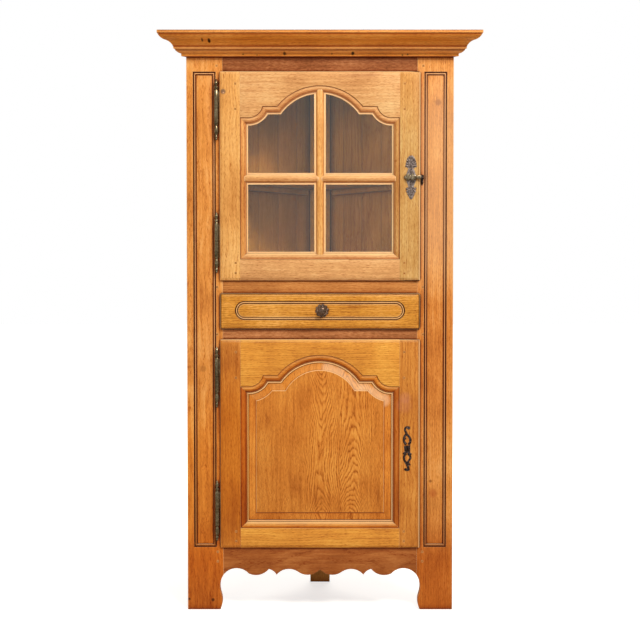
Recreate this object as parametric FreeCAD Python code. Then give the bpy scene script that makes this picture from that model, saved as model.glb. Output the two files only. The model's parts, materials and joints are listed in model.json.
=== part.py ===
import FreeCAD, Part
import math
import os
from FreeCAD import Vector

# A country corner cabinet in oak, with an arched glazed door over a drawer and a panelled door.
# X runs along the front, Y goes back into the corner of the room, and Z is up from the floor.
# While the pieces are made, Y is 0 on the front face of the front frame.

# Whole cabinet
CABINET_HEIGHT = 2000.0
BODY_WIDTH = 928.0
CORNER_FLAT = 60.0
OVERRUN = 5.0

# Front frame, from the floor up
STILE_WIDTH = 126.0
FRAME_THICKNESS = 26.0
APRON_LOW = 120.5
LOWER_OPENING_BOTTOM = 228.0
LOWER_CROSS_RAIL_HEIGHT = 55.0
DRAWER_OPENING_HEIGHT = 105.0
UPPER_CROSS_RAIL_HEIGHT = 64.0
FRIEZE_RAIL_HEIGHT = 117.0
LOWER_DOOR_EXTRA = 7.0
FRAME_TENON_LENGTH = 70.0
FRAME_TENON_THICKNESS = 9.0
FRAME_TENON_SHOULDER = 8.0
PEG_SIZE = 7.0
PEG_INSET = 20.0

# Scalloped lower edge of the apron, and the shaped feet
SCALLOP_RISE = 24.0
SCALLOP_START_SHARES = (1.0, 0.05)
SCALLOP_ARC_SHARES = (
    ((0.870, 1.02), (0.740, 0.25)),
    ((0.662, 0.00), (0.530, 0.90)),
    ((0.480, 0.56), (0.450, 0.06)),
    ((0.325, 0.90), (0.225, 0.47)),
    ((0.125, 0.04), (0.000, 0.84)),
)
FOOT_WAIST = 12.0
FOOT_BELLY = 4.0
FOOT_TOE = 11.0
FOOT_WAIST_HEIGHT = 88.0
FOOT_NECK_HEIGHT = 55.0
FOOT_BELLY_HEIGHT = 30.0

# Sunk panels on the two front stiles
SUNK_SIDE_MARGIN = 23.5
SUNK_FOOT_RISE = 2.0
SUNK_BORDER = 13.0
SUNK_DEPTH = 4.5
SUNK_LEVEL_SHARES = ((0.0, 0.0), (0.06, 0.95), (0.30, 0.85), (0.42, 0.35), (0.62, 0.22),
                     (0.80, 0.45), (0.90, 1.0), (1.0, 0.90))

# Cornice, from the top down
CORNICE_HEIGHT = 75.0
CORNICE_PROJECTION = 89.0
FASCIA_HEIGHT = 10.5
FASCIA_STEP = 1.5
CYMA_HEIGHT = 36.5
CYMA_FOOT = 39.4
CORNICE_FILLET_HEIGHT = 6.5
CAVETTO_HEAD = 36.0
CAVETTO_HEIGHT = 12.5
CORNICE_FOOT = 15.0
CURVE_SAG_SHARE = 0.14

# Boards inside and behind
BACK_THICKNESS = 14.0
BACK_BOARD_WIDTH = 98.0
BACK_BOARD_GAP = 1.5
BACK_TONGUE = 5.0
BACK_BOTTOM = 140.0
POST_DEPTH = 46.0
POST_LAP = 24.0
SHELF_THICKNESS = 18.0
TOP_BOARD_THICKNESS = 18.0
SHELF_OVER_BAR = 13.0
LOWER_SHELF_OVER_MIDDLE = 15.0
SHELF_FRONT_GAP = 18.0
BATTEN_SIZE = 20.0
BATTEN_END_GAP = 30.0

# What the doors and the drawer front have in common
DOOR_LAP = 10.0
DOOR_SIDE_GAP = 2.0
DOOR_PROUD = 11.5
DOOR_BACK_GAP = 0.5
DOOR_THICKNESS = 25.5
LIP_WIDTH = 9.0
LIP_EDGE = 3.5
LIP_LEVEL_SHARES = ((0.0, 0.0), (0.10, 0.42), (0.38, 0.72), (0.95, 0.86), (1.0, 1.0))

# Frames of the two doors
DOOR_STILE_WIDTH = 71.5
LOWER_BOTTOM_RAIL = 70.5
UPPER_BOTTOM_RAIL = 73.5
LOWER_CROWN_RAIL = 54.0
UPPER_CROWN_RAIL = 49.5
DOOR_TENON_LENGTH = 52.0
DOOR_TENON_THICKNESS = 8.0
DOOR_TENON_SHOULDER = 14.0
TENON_FRONT_CHEEK = 9.0
DOOR_PEG_INSET = 16.0
DOOR_PEG_DEPTH = 19.0
DOOR_PEG_SHARES = (0.20, 0.80)

# Stepped arch that heads both doors, measured on the outer line of the moulding. The shares are of
# half its span: half the crown's chord, the crown's rise, the flat shoulder and the step below it.
ARCH_CHORD_SHARE = 0.601
ARCH_RISE_SHARE = 0.287
ARCH_SHOULDER_SHARE = 0.2045
ARCH_STEP_SHARE = 0.157
SPRING_FLAT = 2.5

# Moulding worked round the inside of both door frames, from the sight line outwards
STICKING_WIDTH = 27.0
STICKING_DEPTH = 11.0
STICKING_LEVEL_SHARES = ((0.0, 0.80), (0.22, 0.86), (0.42, 0.28), (0.66, 0.10), (1.0, 0.34), (1.0, 0.0))

# Glazing
BAR_WIDTH = 40.0
BAR_RIDGE = 0.5
CROSS_BAR_DROP = 8.5
REBATE_WIDTH = 8.0
REBATE_DEPTH = 12.0
GLASS_THICKNESS = 3.0
BEAD_THICKNESS = 8.0

# Raised panel of the lower door
PANEL_GROOVE_DEPTH = 12.0
PANEL_PLAY = 1.0
PANEL_TONGUE_THICKNESS = 8.0
PANEL_BEVEL_WIDTH = 28.0
PANEL_STEP_WIDTH = 1.5
PANEL_STEP_DEPTH = 2.5
PANEL_FIELD_DEPTH = 4.0
PANEL_FOOT_GAP = 0.4

# Barrel hinges with a finial at each end
HINGE_AXIS_OUT = 20.8
HINGE_AXIS_FORWARD = 9.0
BARREL_RADIUS = 7.8
PIN_RADIUS = 4.0
PIN_CLEARANCE = 0.06
KNUCKLE_GAP = 0.4
UPPER_BARREL = 65.0
LOWER_BARREL = 59.0
TOP_FINIAL = 37.0
BOTTOM_FINIAL = 51.0
PIN_LENGTH = 50.0
HINGE_FROM_DOOR_TOP = 128.0
HINGE_FROM_DOOR_BOTTOM = 136.0
BLADE_THICKNESS = 2.4
DOOR_BLADE_REACH = 30.0
FRAME_BLADE_REACH = 19.0
BLADE_END_MARGIN = 6.0
BLADE_SET_IN = 0.3
FINIAL_SIDES = 12
FINIAL_SHARES = ((0.0, 0.96), (0.12, 0.58), (0.40, 0.92), (0.78, 0.36), (1.0, 0.18))

# Slide bolt on the upper door, and its keeper
BOLT_OVER_BAR = 4.0
BOLT_PLATE_OFFSET = 33.0
BOLT_PLATE_THICKNESS = 2.0
BOLT_PLATE_HALF_HEIGHT = 77.0
BOLT_PLATE_HALF_WIDTH = 22.0
BOLT_BAR_HEIGHT = 10.0
BOLT_BAR_THICKNESS = 6.0
BOLT_BAR_LENGTH = 58.0
BOLT_PLAY = 0.4
BOLT_KNOB_RADIUS = 5.5
BOLT_KNOB_REACH = 11.0
BOLT_KNOB_SIDES = 12
BOLT_KNOB_SHARES = ((0.0, 0.60), (0.18, 0.50), (0.40, 0.95), (0.62, 1.0), (0.86, 0.78), (1.0, 0.30))
BOLT_KNOB_PLACE_SHARE = 0.74
STAPLE_WIDTH = 6.0
STAPLE_THICKNESS = 2.2
STAPLE_SHARES = (0.20, 0.48)
LOBE_SIDES = 12
PLATE_LOBE_SHARES = ((0.0, 0.84, 0.56), (0.40, 0.68, 0.36), (0.58, 0.50, 0.42), (0.40, 0.04, 0.58),
                     (0.48, -0.54, 0.42), (0.36, -0.70, 0.36), (0.0, -0.80, 0.40))
PLATE_SPINE_SHARES = ((0.60, 0.55), (0.42, 0.32), (0.62, 0.14), (0.62, -0.14), (0.40, -0.34),
                      (0.55, -0.55), (0.34, -0.84), (0.0, -1.0))
KEEPER_GAP = 2.0
KEEPER_WIDTH = 8.5
KEEPER_THICKNESS = 2.2
KEEPER_DROP = 20.0
BOLT_PARK_GAP = 0.8

# Lock and keyhole plate of the lower door
LOCK_DROP = 14.5
KEYHOLE_FROM_EDGE = 43.0
KEYHOLE_PLATE_THICKNESS = 2.0
KEYHOLE_PLATE_HALF_HEIGHT = 79.0
SCROLL_LOBE_SHARES = ((0.0, 0.05, 0.155), (0.0, -0.13, 0.13), (0.0, 0.33, 0.165), (0.0, -0.42, 0.175),
                      (0.085, 0.835, 0.08), (-0.07, -0.93, 0.07), (-0.13, -0.22, 0.065),
                      (0.14, -0.22, 0.065))
SCROLL_HOLE_SHARES = ((0.0, 0.33, 0.085), (0.0, -0.42, 0.105))
SCROLL_LINK_SHARES = (
    ((-0.15, 0.38), (0.13, 0.44), (-0.02, 0.80), (0.06, 0.90), (-0.10, 0.90), (-0.10, 0.76)),
    ((-0.14, -0.54), (0.14, -0.54), (0.09, -0.78), (0.09, -0.96), (-0.07, -1.0), (-0.07, -0.88),
     (0.02, -0.88), (0.0, -0.76)),
)
KEYHOLE_RADIUS = 3.5
KEYHOLE_SLOT_WIDTH = 3.0
KEYHOLE_SLOT_DROP = 12.0
LOCK_CASE_WIDTH = 76.0
LOCK_CASE_HEIGHT = 96.0
LOCK_CASE_THICKNESS = 16.0
LOCK_CASE_WALL = 2.0
LOCK_BOLT_HEIGHT = 26.0
LOCK_BOLT_THICKNESS = 6.0
LOCK_BOLT_LENGTH = 44.0
LOCK_BOLT_TRAVEL = 9.0
LOCK_BOLT_PLAY = 0.5
LOCK_MORTISE_END_GAP = 1.0

# Drawer
DRAWER_LIP_WIDTH = 15.0
DRAWER_SIDE_GAP = 16.0
DRAWER_WALL_GAP = 32.0
DRAWER_LENGTH = 262.0
DRAWER_SIDE_THICKNESS = 12.0
DRAWER_SIDE_DROP = 8.0
DRAWER_BOTTOM_THICKNESS = 7.0
DRAWER_BOTTOM_RISE = 10.0
DRAWER_BOTTOM_SEAT = 6.0
DRAWER_PLAY = 0.4
TRACK_END_MARGIN = 53.5
TRACK_HEIGHT = 65.0
TRACK_WIDTH = 9.4
TRACK_DEPTH = 3.0
TRACK_RISE = 2.5
TRACK_LEVEL_SHARES = ((0.0, 0.0), (0.10, 0.9), (0.48, 0.28), (1.0, 1.0))
KNOB_OFF_CENTRE = 7.0
ROSETTE_RADIUS = 24.0
ROSETTE_THICKNESS = 2.5
ROSETTE_PETALS = 10
PETAL_EDGE_SHARES = ((0.0, 0.86), (0.22, 0.97), (0.50, 1.0), (0.78, 0.97))
KNOB_RADIUS = 15.0
KNOB_HEIGHT = 24.0
SPINDLE_RADIUS = 3.0
SPINDLE_LENGTH = 14.0
SPINDLE_PLAY = 0.2
KNOB_SIDES = 20
KNOB_SHARES = ((0.0, 0.60), (0.12, 0.46), (0.28, 0.46), (0.55, 0.95), (0.67, 1.0), (0.81, 0.93), (0.92, 0.72),
               (1.0, 0.25))
RUNNER_WIDTH = 24.0
RUNNER_HEIGHT = 9.0
GUIDE_WIDTH = 12.0

# Places worked out from the sizes above
HALF_WIDTH = BODY_WIDTH / 2
OPENING_HALF = HALF_WIDTH - STILE_WIDTH
FRAME_TOP = CABINET_HEIGHT - TOP_BOARD_THICKNESS
UPPER_OPENING_TOP = FRAME_TOP - FRIEZE_RAIL_HEIGHT
BETWEEN_DOORS = LOWER_CROSS_RAIL_HEIGHT + DRAWER_OPENING_HEIGHT + UPPER_CROSS_RAIL_HEIGHT
BOTH_OPENINGS = UPPER_OPENING_TOP - LOWER_OPENING_BOTTOM - BETWEEN_DOORS
LOWER_OPENING_TOP = LOWER_OPENING_BOTTOM + (BOTH_OPENINGS + LOWER_DOOR_EXTRA) / 2
DRAWER_OPENING_BOTTOM = LOWER_OPENING_TOP + LOWER_CROSS_RAIL_HEIGHT
DRAWER_OPENING_TOP = DRAWER_OPENING_BOTTOM + DRAWER_OPENING_HEIGHT
UPPER_OPENING_BOTTOM = DRAWER_OPENING_TOP + UPPER_CROSS_RAIL_HEIGHT
LOWER_DOOR_BOTTOM = LOWER_OPENING_BOTTOM - DOOR_LAP
LOWER_DOOR_TOP = LOWER_OPENING_TOP + DOOR_LAP
UPPER_DOOR_BOTTOM = UPPER_OPENING_BOTTOM - DOOR_LAP
UPPER_DOOR_TOP = UPPER_OPENING_TOP + DOOR_LAP
CROSS_BAR_Z = (UPPER_DOOR_BOTTOM + UPPER_DOOR_TOP) / 2 - CROSS_BAR_DROP
SUNK_BOTTOM = LOWER_DOOR_BOTTOM + SUNK_FOOT_RISE
SUNK_TOP = UPPER_DOOR_TOP
CORNICE_BOTTOM = CABINET_HEIGHT - CORNICE_HEIGHT
BODY_DEPTH = HALF_WIDTH - CORNER_FLAT / 2
CENTRE_Y = (BODY_DEPTH - CORNICE_PROJECTION) / 2
BACK_INSIDE = BACK_THICKNESS * math.sqrt(2)
DOOR_HALF = OPENING_HALF + DOOR_LAP
DOOR_BACK = DOOR_THICKNESS - DOOR_PROUD
OUTER_HALF = DOOR_HALF - DOOR_STILE_WIDTH
SIGHT_HALF = OUTER_HALF - STICKING_WIDTH
SPRING_X = SIGHT_HALF - SPRING_FLAT
ARCH_HALF_CHORD = ARCH_CHORD_SHARE * SPRING_X
ARCH_RISE = ARCH_RISE_SHARE * SPRING_X
ARCH_RADIUS = (ARCH_HALF_CHORD ** 2 + ARCH_RISE ** 2) / (2 * ARCH_RISE)
ARCH_STEP = ARCH_STEP_SHARE * SPRING_X
STEP_RUN = SPRING_X - ARCH_HALF_CHORD - ARCH_SHOULDER_SHARE * SPRING_X
STEP_RADIUS = (STEP_RUN ** 2 + ARCH_STEP ** 2) / (2 * ARCH_STEP)
HINGE_X = -OPENING_HALF - HINGE_AXIS_OUT
HINGE_Y = -HINGE_AXIS_FORWARD


# General shapes

def box(x0, x1, y0, y1, z0, z1):
    return Part.makeBox(x1 - x0, y1 - y0, z1 - z0, Vector(x0, y0, z0))


def line(a, b):
    return Part.LineSegment(a, b).toShape()


def arc(a, middle, b):
    return Part.Arc(a, middle, b).toShape()


def flat_face(corners):
    return Part.Face(Part.makePolygon(corners + corners[:1]))


def front_polygon(points, y0, y1):
    """A board seen from the front, from depth y0 to depth y1."""
    return flat_face([Vector(x, y0, z) for x, z in points]).extrude(Vector(0, y1 - y0, 0))


def plan_polygon(points, z0, z1):
    """A board seen from above, from height z0 to height z1."""
    return flat_face([Vector(x, y, z0) for x, y in points]).extrude(Vector(0, 0, z1 - z0))


def disc(x, z, radius, y0, y1):
    return Part.makeCylinder(radius, y1 - y0, Vector(x, y0, z), Vector(0, 1, 0))


def rectangle(x0, x1, z0, z1, y):
    corners = [Vector(x0, y, z0), Vector(x1, y, z0), Vector(x1, y, z1), Vector(x0, y, z1)]
    return Part.makePolygon(corners + corners[:1])


def loft(wires):
    return Part.makeLoft(wires, True, True)


def joined(pieces):
    return pieces[0].multiFuse(pieces[1:]).removeSplitter()


def largest(shape):
    return max(shape.Solids, key=lambda solid: solid.Volume)


def mirrored(shape):
    return shape.mirror(Vector(0, 0, 0), Vector(1, 0, 0))


def ring(centre, axis, radius, sides):
    """The corners of a many-sided ring about an axis that is square to X."""
    arm = Vector(radius, 0, 0)
    return [centre + FreeCAD.Rotation(axis, 360 * index / sides).multVec(arm) for index in range(sides)]


def turned(shares, radius, length, foot, axis, sides):
    """A small turned piece, from shares of (its length, its radius), along an axis square to X."""
    rings = [ring(foot + axis * (along * length), axis, out * radius, sides) for along, out in shares]
    faces = [flat_face(rings[0]), flat_face(rings[-1])]
    for low, high in zip(rings, rings[1:]):
        for index in range(sides):
            after = (index + 1) % sides
            faces.append(flat_face([low[index], low[after], high[after], high[index]]))
    return Part.makeSolid(Part.makeShell(faces))


def lobe(x, z, radius, y0, y1):
    """A round lobe of a thin plate that is cut out by hand."""
    outline = ring(Vector(x, y0, z), Vector(0, 1, 0), radius, LOBE_SIDES)
    return flat_face(outline).extrude(Vector(0, y1 - y0, 0))


def save(name, pieces):
    """Writes one piece, or a group of separate like pieces, with the origin under the cabinet."""
    solids = [solid for piece in pieces for solid in piece.Solids]
    shape = solids[0] if len(solids) == 1 else Part.makeCompound(solids)
    shape = shape.copy()
    shape.translate(Vector(0, -CENTRE_Y, 0))
    shape.exportStep("parts/" + name + ".step")
    print(name, len(solids), "solids", "valid" if shape.isValid() else "NOT VALID")


# Front frame

def tenon(x0, x1, z0, z1):
    middle = FRAME_THICKNESS / 2
    half = FRAME_TENON_THICKNESS / 2
    return box(x0, x1, middle - half, middle + half, z0, z1)


def rail_tenons(z0, z1):
    low = z0 + FRAME_TENON_SHOULDER
    high = z1 - FRAME_TENON_SHOULDER
    left = tenon(-OPENING_HALF - FRAME_TENON_LENGTH, -OPENING_HALF, low, high)
    return [left, mirrored(left)]


RAIL_HEIGHTS = {
    "apron_rail": (APRON_LOW + SCALLOP_RISE, LOWER_OPENING_BOTTOM),
    "lower_cross_rail": (LOWER_OPENING_TOP, DRAWER_OPENING_BOTTOM),
    "upper_cross_rail": (DRAWER_OPENING_TOP, UPPER_OPENING_BOTTOM),
    "frieze_rail": (UPPER_OPENING_TOP, FRAME_TOP),
}
RAIL_PEG_SHARES = {
    "apron_rail": (0.3, 0.7),
    "lower_cross_rail": (0.5,),
    "upper_cross_rail": (0.5,),
    "frieze_rail": (0.26,),
}


def frame_peg_places():
    for name, (z0, z1) in RAIL_HEIGHTS.items():
        for share in RAIL_PEG_SHARES[name]:
            yield z0 + share * (z1 - z0)


def frame_pegs():
    left = []
    for z in frame_peg_places():
        x = -OPENING_HALF - PEG_INSET
        half = PEG_SIZE / 2
        left.append(box(x - half, x + half, 0, FRAME_THICKNESS, z - half, z + half))
    return left + [mirrored(peg) for peg in left]


def sunk_panel():
    """The long sunk panel of the left stile, with the bead that runs round it."""
    x0 = -HALF_WIDTH + SUNK_SIDE_MARGIN
    x1 = -OPENING_HALF - SUNK_SIDE_MARGIN
    wires = [rectangle(x0, x1, SUNK_BOTTOM, SUNK_TOP, -OVERRUN)]
    for across, deep in SUNK_LEVEL_SHARES:
        inset = across * SUNK_BORDER
        wires.append(rectangle(x0 + inset, x1 - inset, SUNK_BOTTOM + inset, SUNK_TOP - inset,
                               deep * SUNK_DEPTH))
    return loft(wires)


def foot_cutter():
    """What is cut away inside the left foot, below the apron."""
    joint = APRON_LOW + SCALLOP_START_SHARES[1] * SCALLOP_RISE
    inner = -OPENING_HALF
    start = Vector(inner, -OVERRUN, joint)
    neck = Vector(inner - (FOOT_WAIST + FOOT_BELLY) / 2, -OVERRUN, FOOT_NECK_HEIGHT)
    toe = Vector(inner - FOOT_TOE, -OVERRUN, 0)
    floor = Vector(inner - FOOT_TOE, -OVERRUN, -OVERRUN)
    corner = Vector(inner + OVERRUN, -OVERRUN, -OVERRUN)
    top = Vector(inner + OVERRUN, -OVERRUN, joint)
    edges = [
        arc(start, Vector(inner - FOOT_WAIST, -OVERRUN, FOOT_WAIST_HEIGHT), neck),
        arc(neck, Vector(inner - FOOT_BELLY, -OVERRUN, FOOT_BELLY_HEIGHT), toe),
        line(toe, floor),
        line(floor, corner),
        line(corner, top),
        line(top, start),
    ]
    face = Part.Face(Part.Wire(edges))
    return face.extrude(Vector(0, FRAME_THICKNESS + 2 * OVERRUN, 0))


def left_stile():
    plan = [(-HALF_WIDTH, 0), (-OPENING_HALF, 0), (-OPENING_HALF, FRAME_THICKNESS),
            (-HALF_WIDTH + FRAME_THICKNESS, FRAME_THICKNESS)]
    stile = plan_polygon(plan, 0, FRAME_TOP)
    cutters = [sunk_panel(), foot_cutter()]
    for z0, z1 in RAIL_HEIGHTS.values():
        cutters.append(rail_tenons(z0, z1)[0])
    return stile.cut(cutters + frame_pegs())


def plain_rail(name):
    z0, z1 = RAIL_HEIGHTS[name]
    body = box(-OPENING_HALF, OPENING_HALF, 0, FRAME_THICKNESS, z0, z1)
    return joined([body] + rail_tenons(z0, z1)).cut(frame_pegs())


def apron_rail():
    def place(shares, side):
        return Vector(side * shares[0] * OPENING_HALF, 0, APRON_LOW + shares[1] * SCALLOP_RISE)

    edges = []
    for side in (-1, 1):
        start = place(SCALLOP_START_SHARES, side)
        for middle, end in SCALLOP_ARC_SHARES:
            edges.append(arc(start, place(middle, side), place(end, side)))
            start = place(end, side)
    corners = [place(SCALLOP_START_SHARES, -1), Vector(-OPENING_HALF, 0, LOWER_OPENING_BOTTOM),
               Vector(OPENING_HALF, 0, LOWER_OPENING_BOTTOM), place(SCALLOP_START_SHARES, 1)]
    for a, b in zip(corners, corners[1:]):
        edges.append(line(a, b))
    face = Part.Face(Part.Wire(Part.__sortEdges__(edges)))
    body = face.extrude(Vector(0, FRAME_THICKNESS, 0))
    return joined([body] + rail_tenons(*RAIL_HEIGHTS["apron_rail"])).cut(frame_pegs())


# Cornice and carcass behind the frame

def cornice():
    def at(projection, z):
        return Vector(0, -projection, z)

    def curve(a, b, bulge):
        middle = (a + b) * 0.5
        along = b - a
        across = Vector(0, along.z, -along.y)
        return arc(a, middle + across * (bulge * CURVE_SAG_SHARE), b)

    fascia_foot = CABINET_HEIGHT - FASCIA_HEIGHT
    cyma_foot = fascia_foot - CYMA_HEIGHT
    cavetto_head = cyma_foot - CORNICE_FILLET_HEIGHT
    cavetto_foot = cavetto_head - CAVETTO_HEIGHT
    cyma_head = at(CORNICE_PROJECTION - FASCIA_STEP, fascia_foot)
    cyma_end = at(CYMA_FOOT, cyma_foot)
    cyma_middle = (cyma_head + cyma_end) * 0.5
    cavetto_start = at(CAVETTO_HEAD, cavetto_head)
    cavetto_end = at(CORNICE_FOOT, cavetto_foot)
    edges = [
        line(at(0, CABINET_HEIGHT), at(CORNICE_PROJECTION, CABINET_HEIGHT)),
        line(at(CORNICE_PROJECTION, CABINET_HEIGHT), at(CORNICE_PROJECTION, fascia_foot)),
        line(at(CORNICE_PROJECTION, fascia_foot), cyma_head),
        curve(cyma_head, cyma_middle, 1),
        curve(cyma_middle, cyma_end, -1),
        line(cyma_end, at(CYMA_FOOT, cavetto_head)),
        line(at(CYMA_FOOT, cavetto_head), cavetto_start),
        curve(cavetto_start, cavetto_end, 1),
        line(cavetto_end, at(CORNICE_FOOT, CORNICE_BOTTOM)),
        line(at(CORNICE_FOOT, CORNICE_BOTTOM), at(0, CORNICE_BOTTOM)),
        line(at(0, CORNICE_BOTTOM), at(0, CABINET_HEIGHT)),
    ]
    face = Part.Face(Part.Wire(edges))
    reach = HALF_WIDTH + CORNICE_PROJECTION
    face.translate(Vector(-reach, 0, 0))
    moulding = face.extrude(Vector(2 * reach, 0, 0))
    plan = [(-HALF_WIDTH, 0), (HALF_WIDTH, 0), (reach, -CORNICE_PROJECTION), (-reach, -CORNICE_PROJECTION)]
    return moulding.common(plan_polygon(plan, CORNICE_BOTTOM, CABINET_HEIGHT))


def rear_post():
    """The corner post, rebated on both sides for the ends of the back boards."""
    flat = CORNER_FLAT / 2
    lap = POST_LAP / math.sqrt(2)
    skin = BACK_THICKNESS / math.sqrt(2)
    shoulder = (flat, BODY_DEPTH)
    inner = (flat - skin, BODY_DEPTH - skin)
    end = (inner[0] + lap, inner[1] - lap)
    front = BODY_DEPTH - skin - POST_DEPTH
    right = [shoulder, inner, end, (end[0], front)]
    left = [(-x, y) for x, y in reversed(right)]
    return plan_polygon(right + left, 0, FRAME_TOP)


def inside_plan(front):
    """The plan of a board that fills the inside of the back, from depth front to the post."""
    wide = HALF_WIDTH - BACK_INSIDE - front
    skin = BACK_THICKNESS / math.sqrt(2)
    lap = POST_LAP / math.sqrt(2)
    post_half = CORNER_FLAT / 2 - skin + lap
    post_side = BODY_DEPTH - skin - lap
    post_front = BODY_DEPTH - skin - POST_DEPTH
    right = [(wide, front), (post_half, post_side), (post_half, post_front)]
    left = [(-x, y) for x, y in reversed(right)]
    return right + left


def board(front, top, thickness):
    return plan_polygon(inside_plan(front), top - thickness, top)


def top_board():
    plan = [(-HALF_WIDTH, 0), (HALF_WIDTH, 0), (CORNER_FLAT / 2, BODY_DEPTH), (-CORNER_FLAT / 2, BODY_DEPTH)]
    return plan_polygon(plan, FRAME_TOP, CABINET_HEIGHT)


def left_back_boards():
    """Upright boards along the left wall, tongued into each other."""
    start = FRAME_THICKNESS * math.sqrt(2)
    finish = (HALF_WIDTH - CORNER_FLAT / 2) * math.sqrt(2)
    count = max(1, round((finish - start) / BACK_BOARD_WIDTH))
    width = (finish - start) / count
    behind_frame = box(-HALF_WIDTH, HALF_WIDTH, FRAME_THICKNESS, BODY_DEPTH, 0, FRAME_TOP)
    boards = []
    for index in range(count):
        a = start + index * width + (BACK_BOARD_GAP if index else 0)
        b = start + (index + 1) * width
        boards.append(back_board(a, b, index > 0, index < count - 1).common(behind_frame))
    return boards


def back_board(a, b, groove, tongue):
    """A board along the left wall, from distance a to distance b of the cabinet's front corner."""
    third = BACK_THICKNESS / 3
    corners = [(a, 0), (b, 0)]
    if tongue:
        end = b + BACK_TONGUE
        corners += [(b, third), (end, third), (end, 2 * third), (b, 2 * third)]
    corners += [(b, BACK_THICKNESS), (a, BACK_THICKNESS)]
    if groove:
        root = a + BACK_TONGUE
        corners += [(a, 2 * third), (root, 2 * third), (root, third), (a, third)]
    return plan_polygon([wall_point(along, across) for along, across in corners], BACK_BOTTOM, FRAME_TOP)


def wall_point(along, across):
    """A point measured along the left wall from the front corner, and into the cabinet from the wall."""
    return -HALF_WIDTH + (along + across) / math.sqrt(2), (along - across) / math.sqrt(2)


BOARD_TOPS = {
    "upper_cupboard_floor": UPPER_OPENING_BOTTOM,
    "drawer_bearer_board": DRAWER_OPENING_BOTTOM,
    "lower_cupboard_floor": LOWER_OPENING_BOTTOM,
}
SHELF_TOPS = {
    "upper_shelf": CROSS_BAR_Z + SHELF_OVER_BAR,
    "lower_shelf": (LOWER_OPENING_BOTTOM + LOWER_OPENING_TOP) / 2 + LOWER_SHELF_OVER_MIDDLE,
}


def battens():
    """The battens nailed to the back boards, one on each side under every board."""
    start = FRAME_THICKNESS * math.sqrt(2) + BACK_THICKNESS + BATTEN_END_GAP
    finish = (HALF_WIDTH - CORNER_FLAT / 2) * math.sqrt(2) - POST_LAP - BATTEN_END_GAP
    near = BACK_THICKNESS
    far = BACK_THICKNESS + BATTEN_SIZE
    plan = [wall_point(along, across)
            for along, across in ((start, near), (finish, near), (finish, far), (start, far))]
    left = []
    for top in list(BOARD_TOPS.values()) + list(SHELF_TOPS.values()):
        under = top - SHELF_THICKNESS
        left.append(plan_polygon(plan, under - BATTEN_SIZE, under))
    return left + [mirrored(batten) for batten in left]


# Doors

def lipped_blank(bottom, top, lip_side, lip_end):
    """A door or drawer front: a moulded lip over the frame, and a part that fits in the opening."""
    wires = [rectangle(-DOOR_HALF, DOOR_HALF, bottom, top, -DOOR_BACK_GAP)]
    for across, up in LIP_LEVEL_SHARES:
        side = across * lip_side
        end = across * lip_end
        wires.append(rectangle(-DOOR_HALF + side, DOOR_HALF - side, bottom + end, top - end,
                               -LIP_EDGE - up * (DOOR_PROUD - LIP_EDGE)))
    fit = DOOR_LAP + DOOR_SIDE_GAP
    inner = box(-DOOR_HALF + fit, DOOR_HALF - fit, -DOOR_BACK_GAP - LIP_EDGE / 2, DOOR_BACK,
                bottom + fit, top - fit)
    return joined([loft(wires), inner])


def arch_points(crown, inset):
    """Points of the left half of the stepped arch, drawn inside its outer line by inset."""
    centre = crown - ARCH_RADIUS
    big = ARCH_RADIUS - inset
    shoulder = crown - ARCH_RISE - inset
    small = STEP_RADIUS + inset
    small_centre = shoulder + inset - ARCH_STEP + STEP_RADIUS
    shoulder_out = SPRING_X - math.sqrt(small ** 2 - (small_centre - shoulder) ** 2)
    shoulder_in = math.sqrt(big ** 2 - (shoulder - centre) ** 2)
    return centre, big, shoulder, small, small_centre, shoulder_out, shoulder_in


def arched_outline(crown, bottom, inset, y, sprung=True):
    """The arched outline of a door's opening. A sprung outline has the short flat beside each stile."""
    centre, big, shoulder, small, small_centre, out, inn = arch_points(crown, inset)
    half = OUTER_HALF - inset
    if sprung:
        spring = small_centre - small
        foot = SPRING_X
        points = [(half, bottom + inset), (half, spring), (foot, spring)]
    else:
        foot = half
        spring = small_centre - math.sqrt(small ** 2 - (SPRING_X - half) ** 2)
        points = [(half, bottom + inset), (half, spring)]
    turn = (math.atan2(spring - small_centre, foot - SPRING_X)
            + math.atan2(shoulder - small_centre, out - SPRING_X)) / 2
    turn_middle = (SPRING_X + small * math.cos(turn), small_centre + small * math.sin(turn))
    if turn_middle[0] > SPRING_X:
        turn_middle = (SPRING_X - (turn_middle[0] - SPRING_X), turn_middle[1])
    crown_turn = (math.atan2(shoulder - centre, inn) + math.pi / 2) / 2
    crown_middle = (big * math.cos(crown_turn), centre + big * math.sin(crown_turn))

    def at(point, side):
        return Vector(side * point[0], y, point[1])

    left = [line(at(a, -1), at(b, -1)) for a, b in zip(points, points[1:])]
    left.append(arc(at(points[-1], -1), at(turn_middle, -1), at((out, shoulder), -1)))
    left.append(line(at((out, shoulder), -1), at((inn, shoulder), -1)))
    left.append(arc(at((inn, shoulder), -1), at(crown_middle, -1), at((0, centre + big), -1)))
    right = [arc(at((0, centre + big), 1), at(crown_middle, 1), at((inn, shoulder), 1))]
    right.append(line(at((inn, shoulder), 1), at((out, shoulder), 1)))
    right.append(arc(at((out, shoulder), 1), at(turn_middle, 1), at(points[-1], 1)))
    back = list(reversed(points))
    right += [line(at(a, 1), at(b, 1)) for a, b in zip(back, back[1:])]
    sill = line(at(points[0], 1), at(points[0], -1))
    return Part.Wire(left + right + [sill])


def arched_prism(crown, bottom, inset, y0, y1, sprung=True):
    return Part.Face(arched_outline(crown, bottom, inset, y0, sprung)).extrude(Vector(0, y1 - y0, 0))


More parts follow.
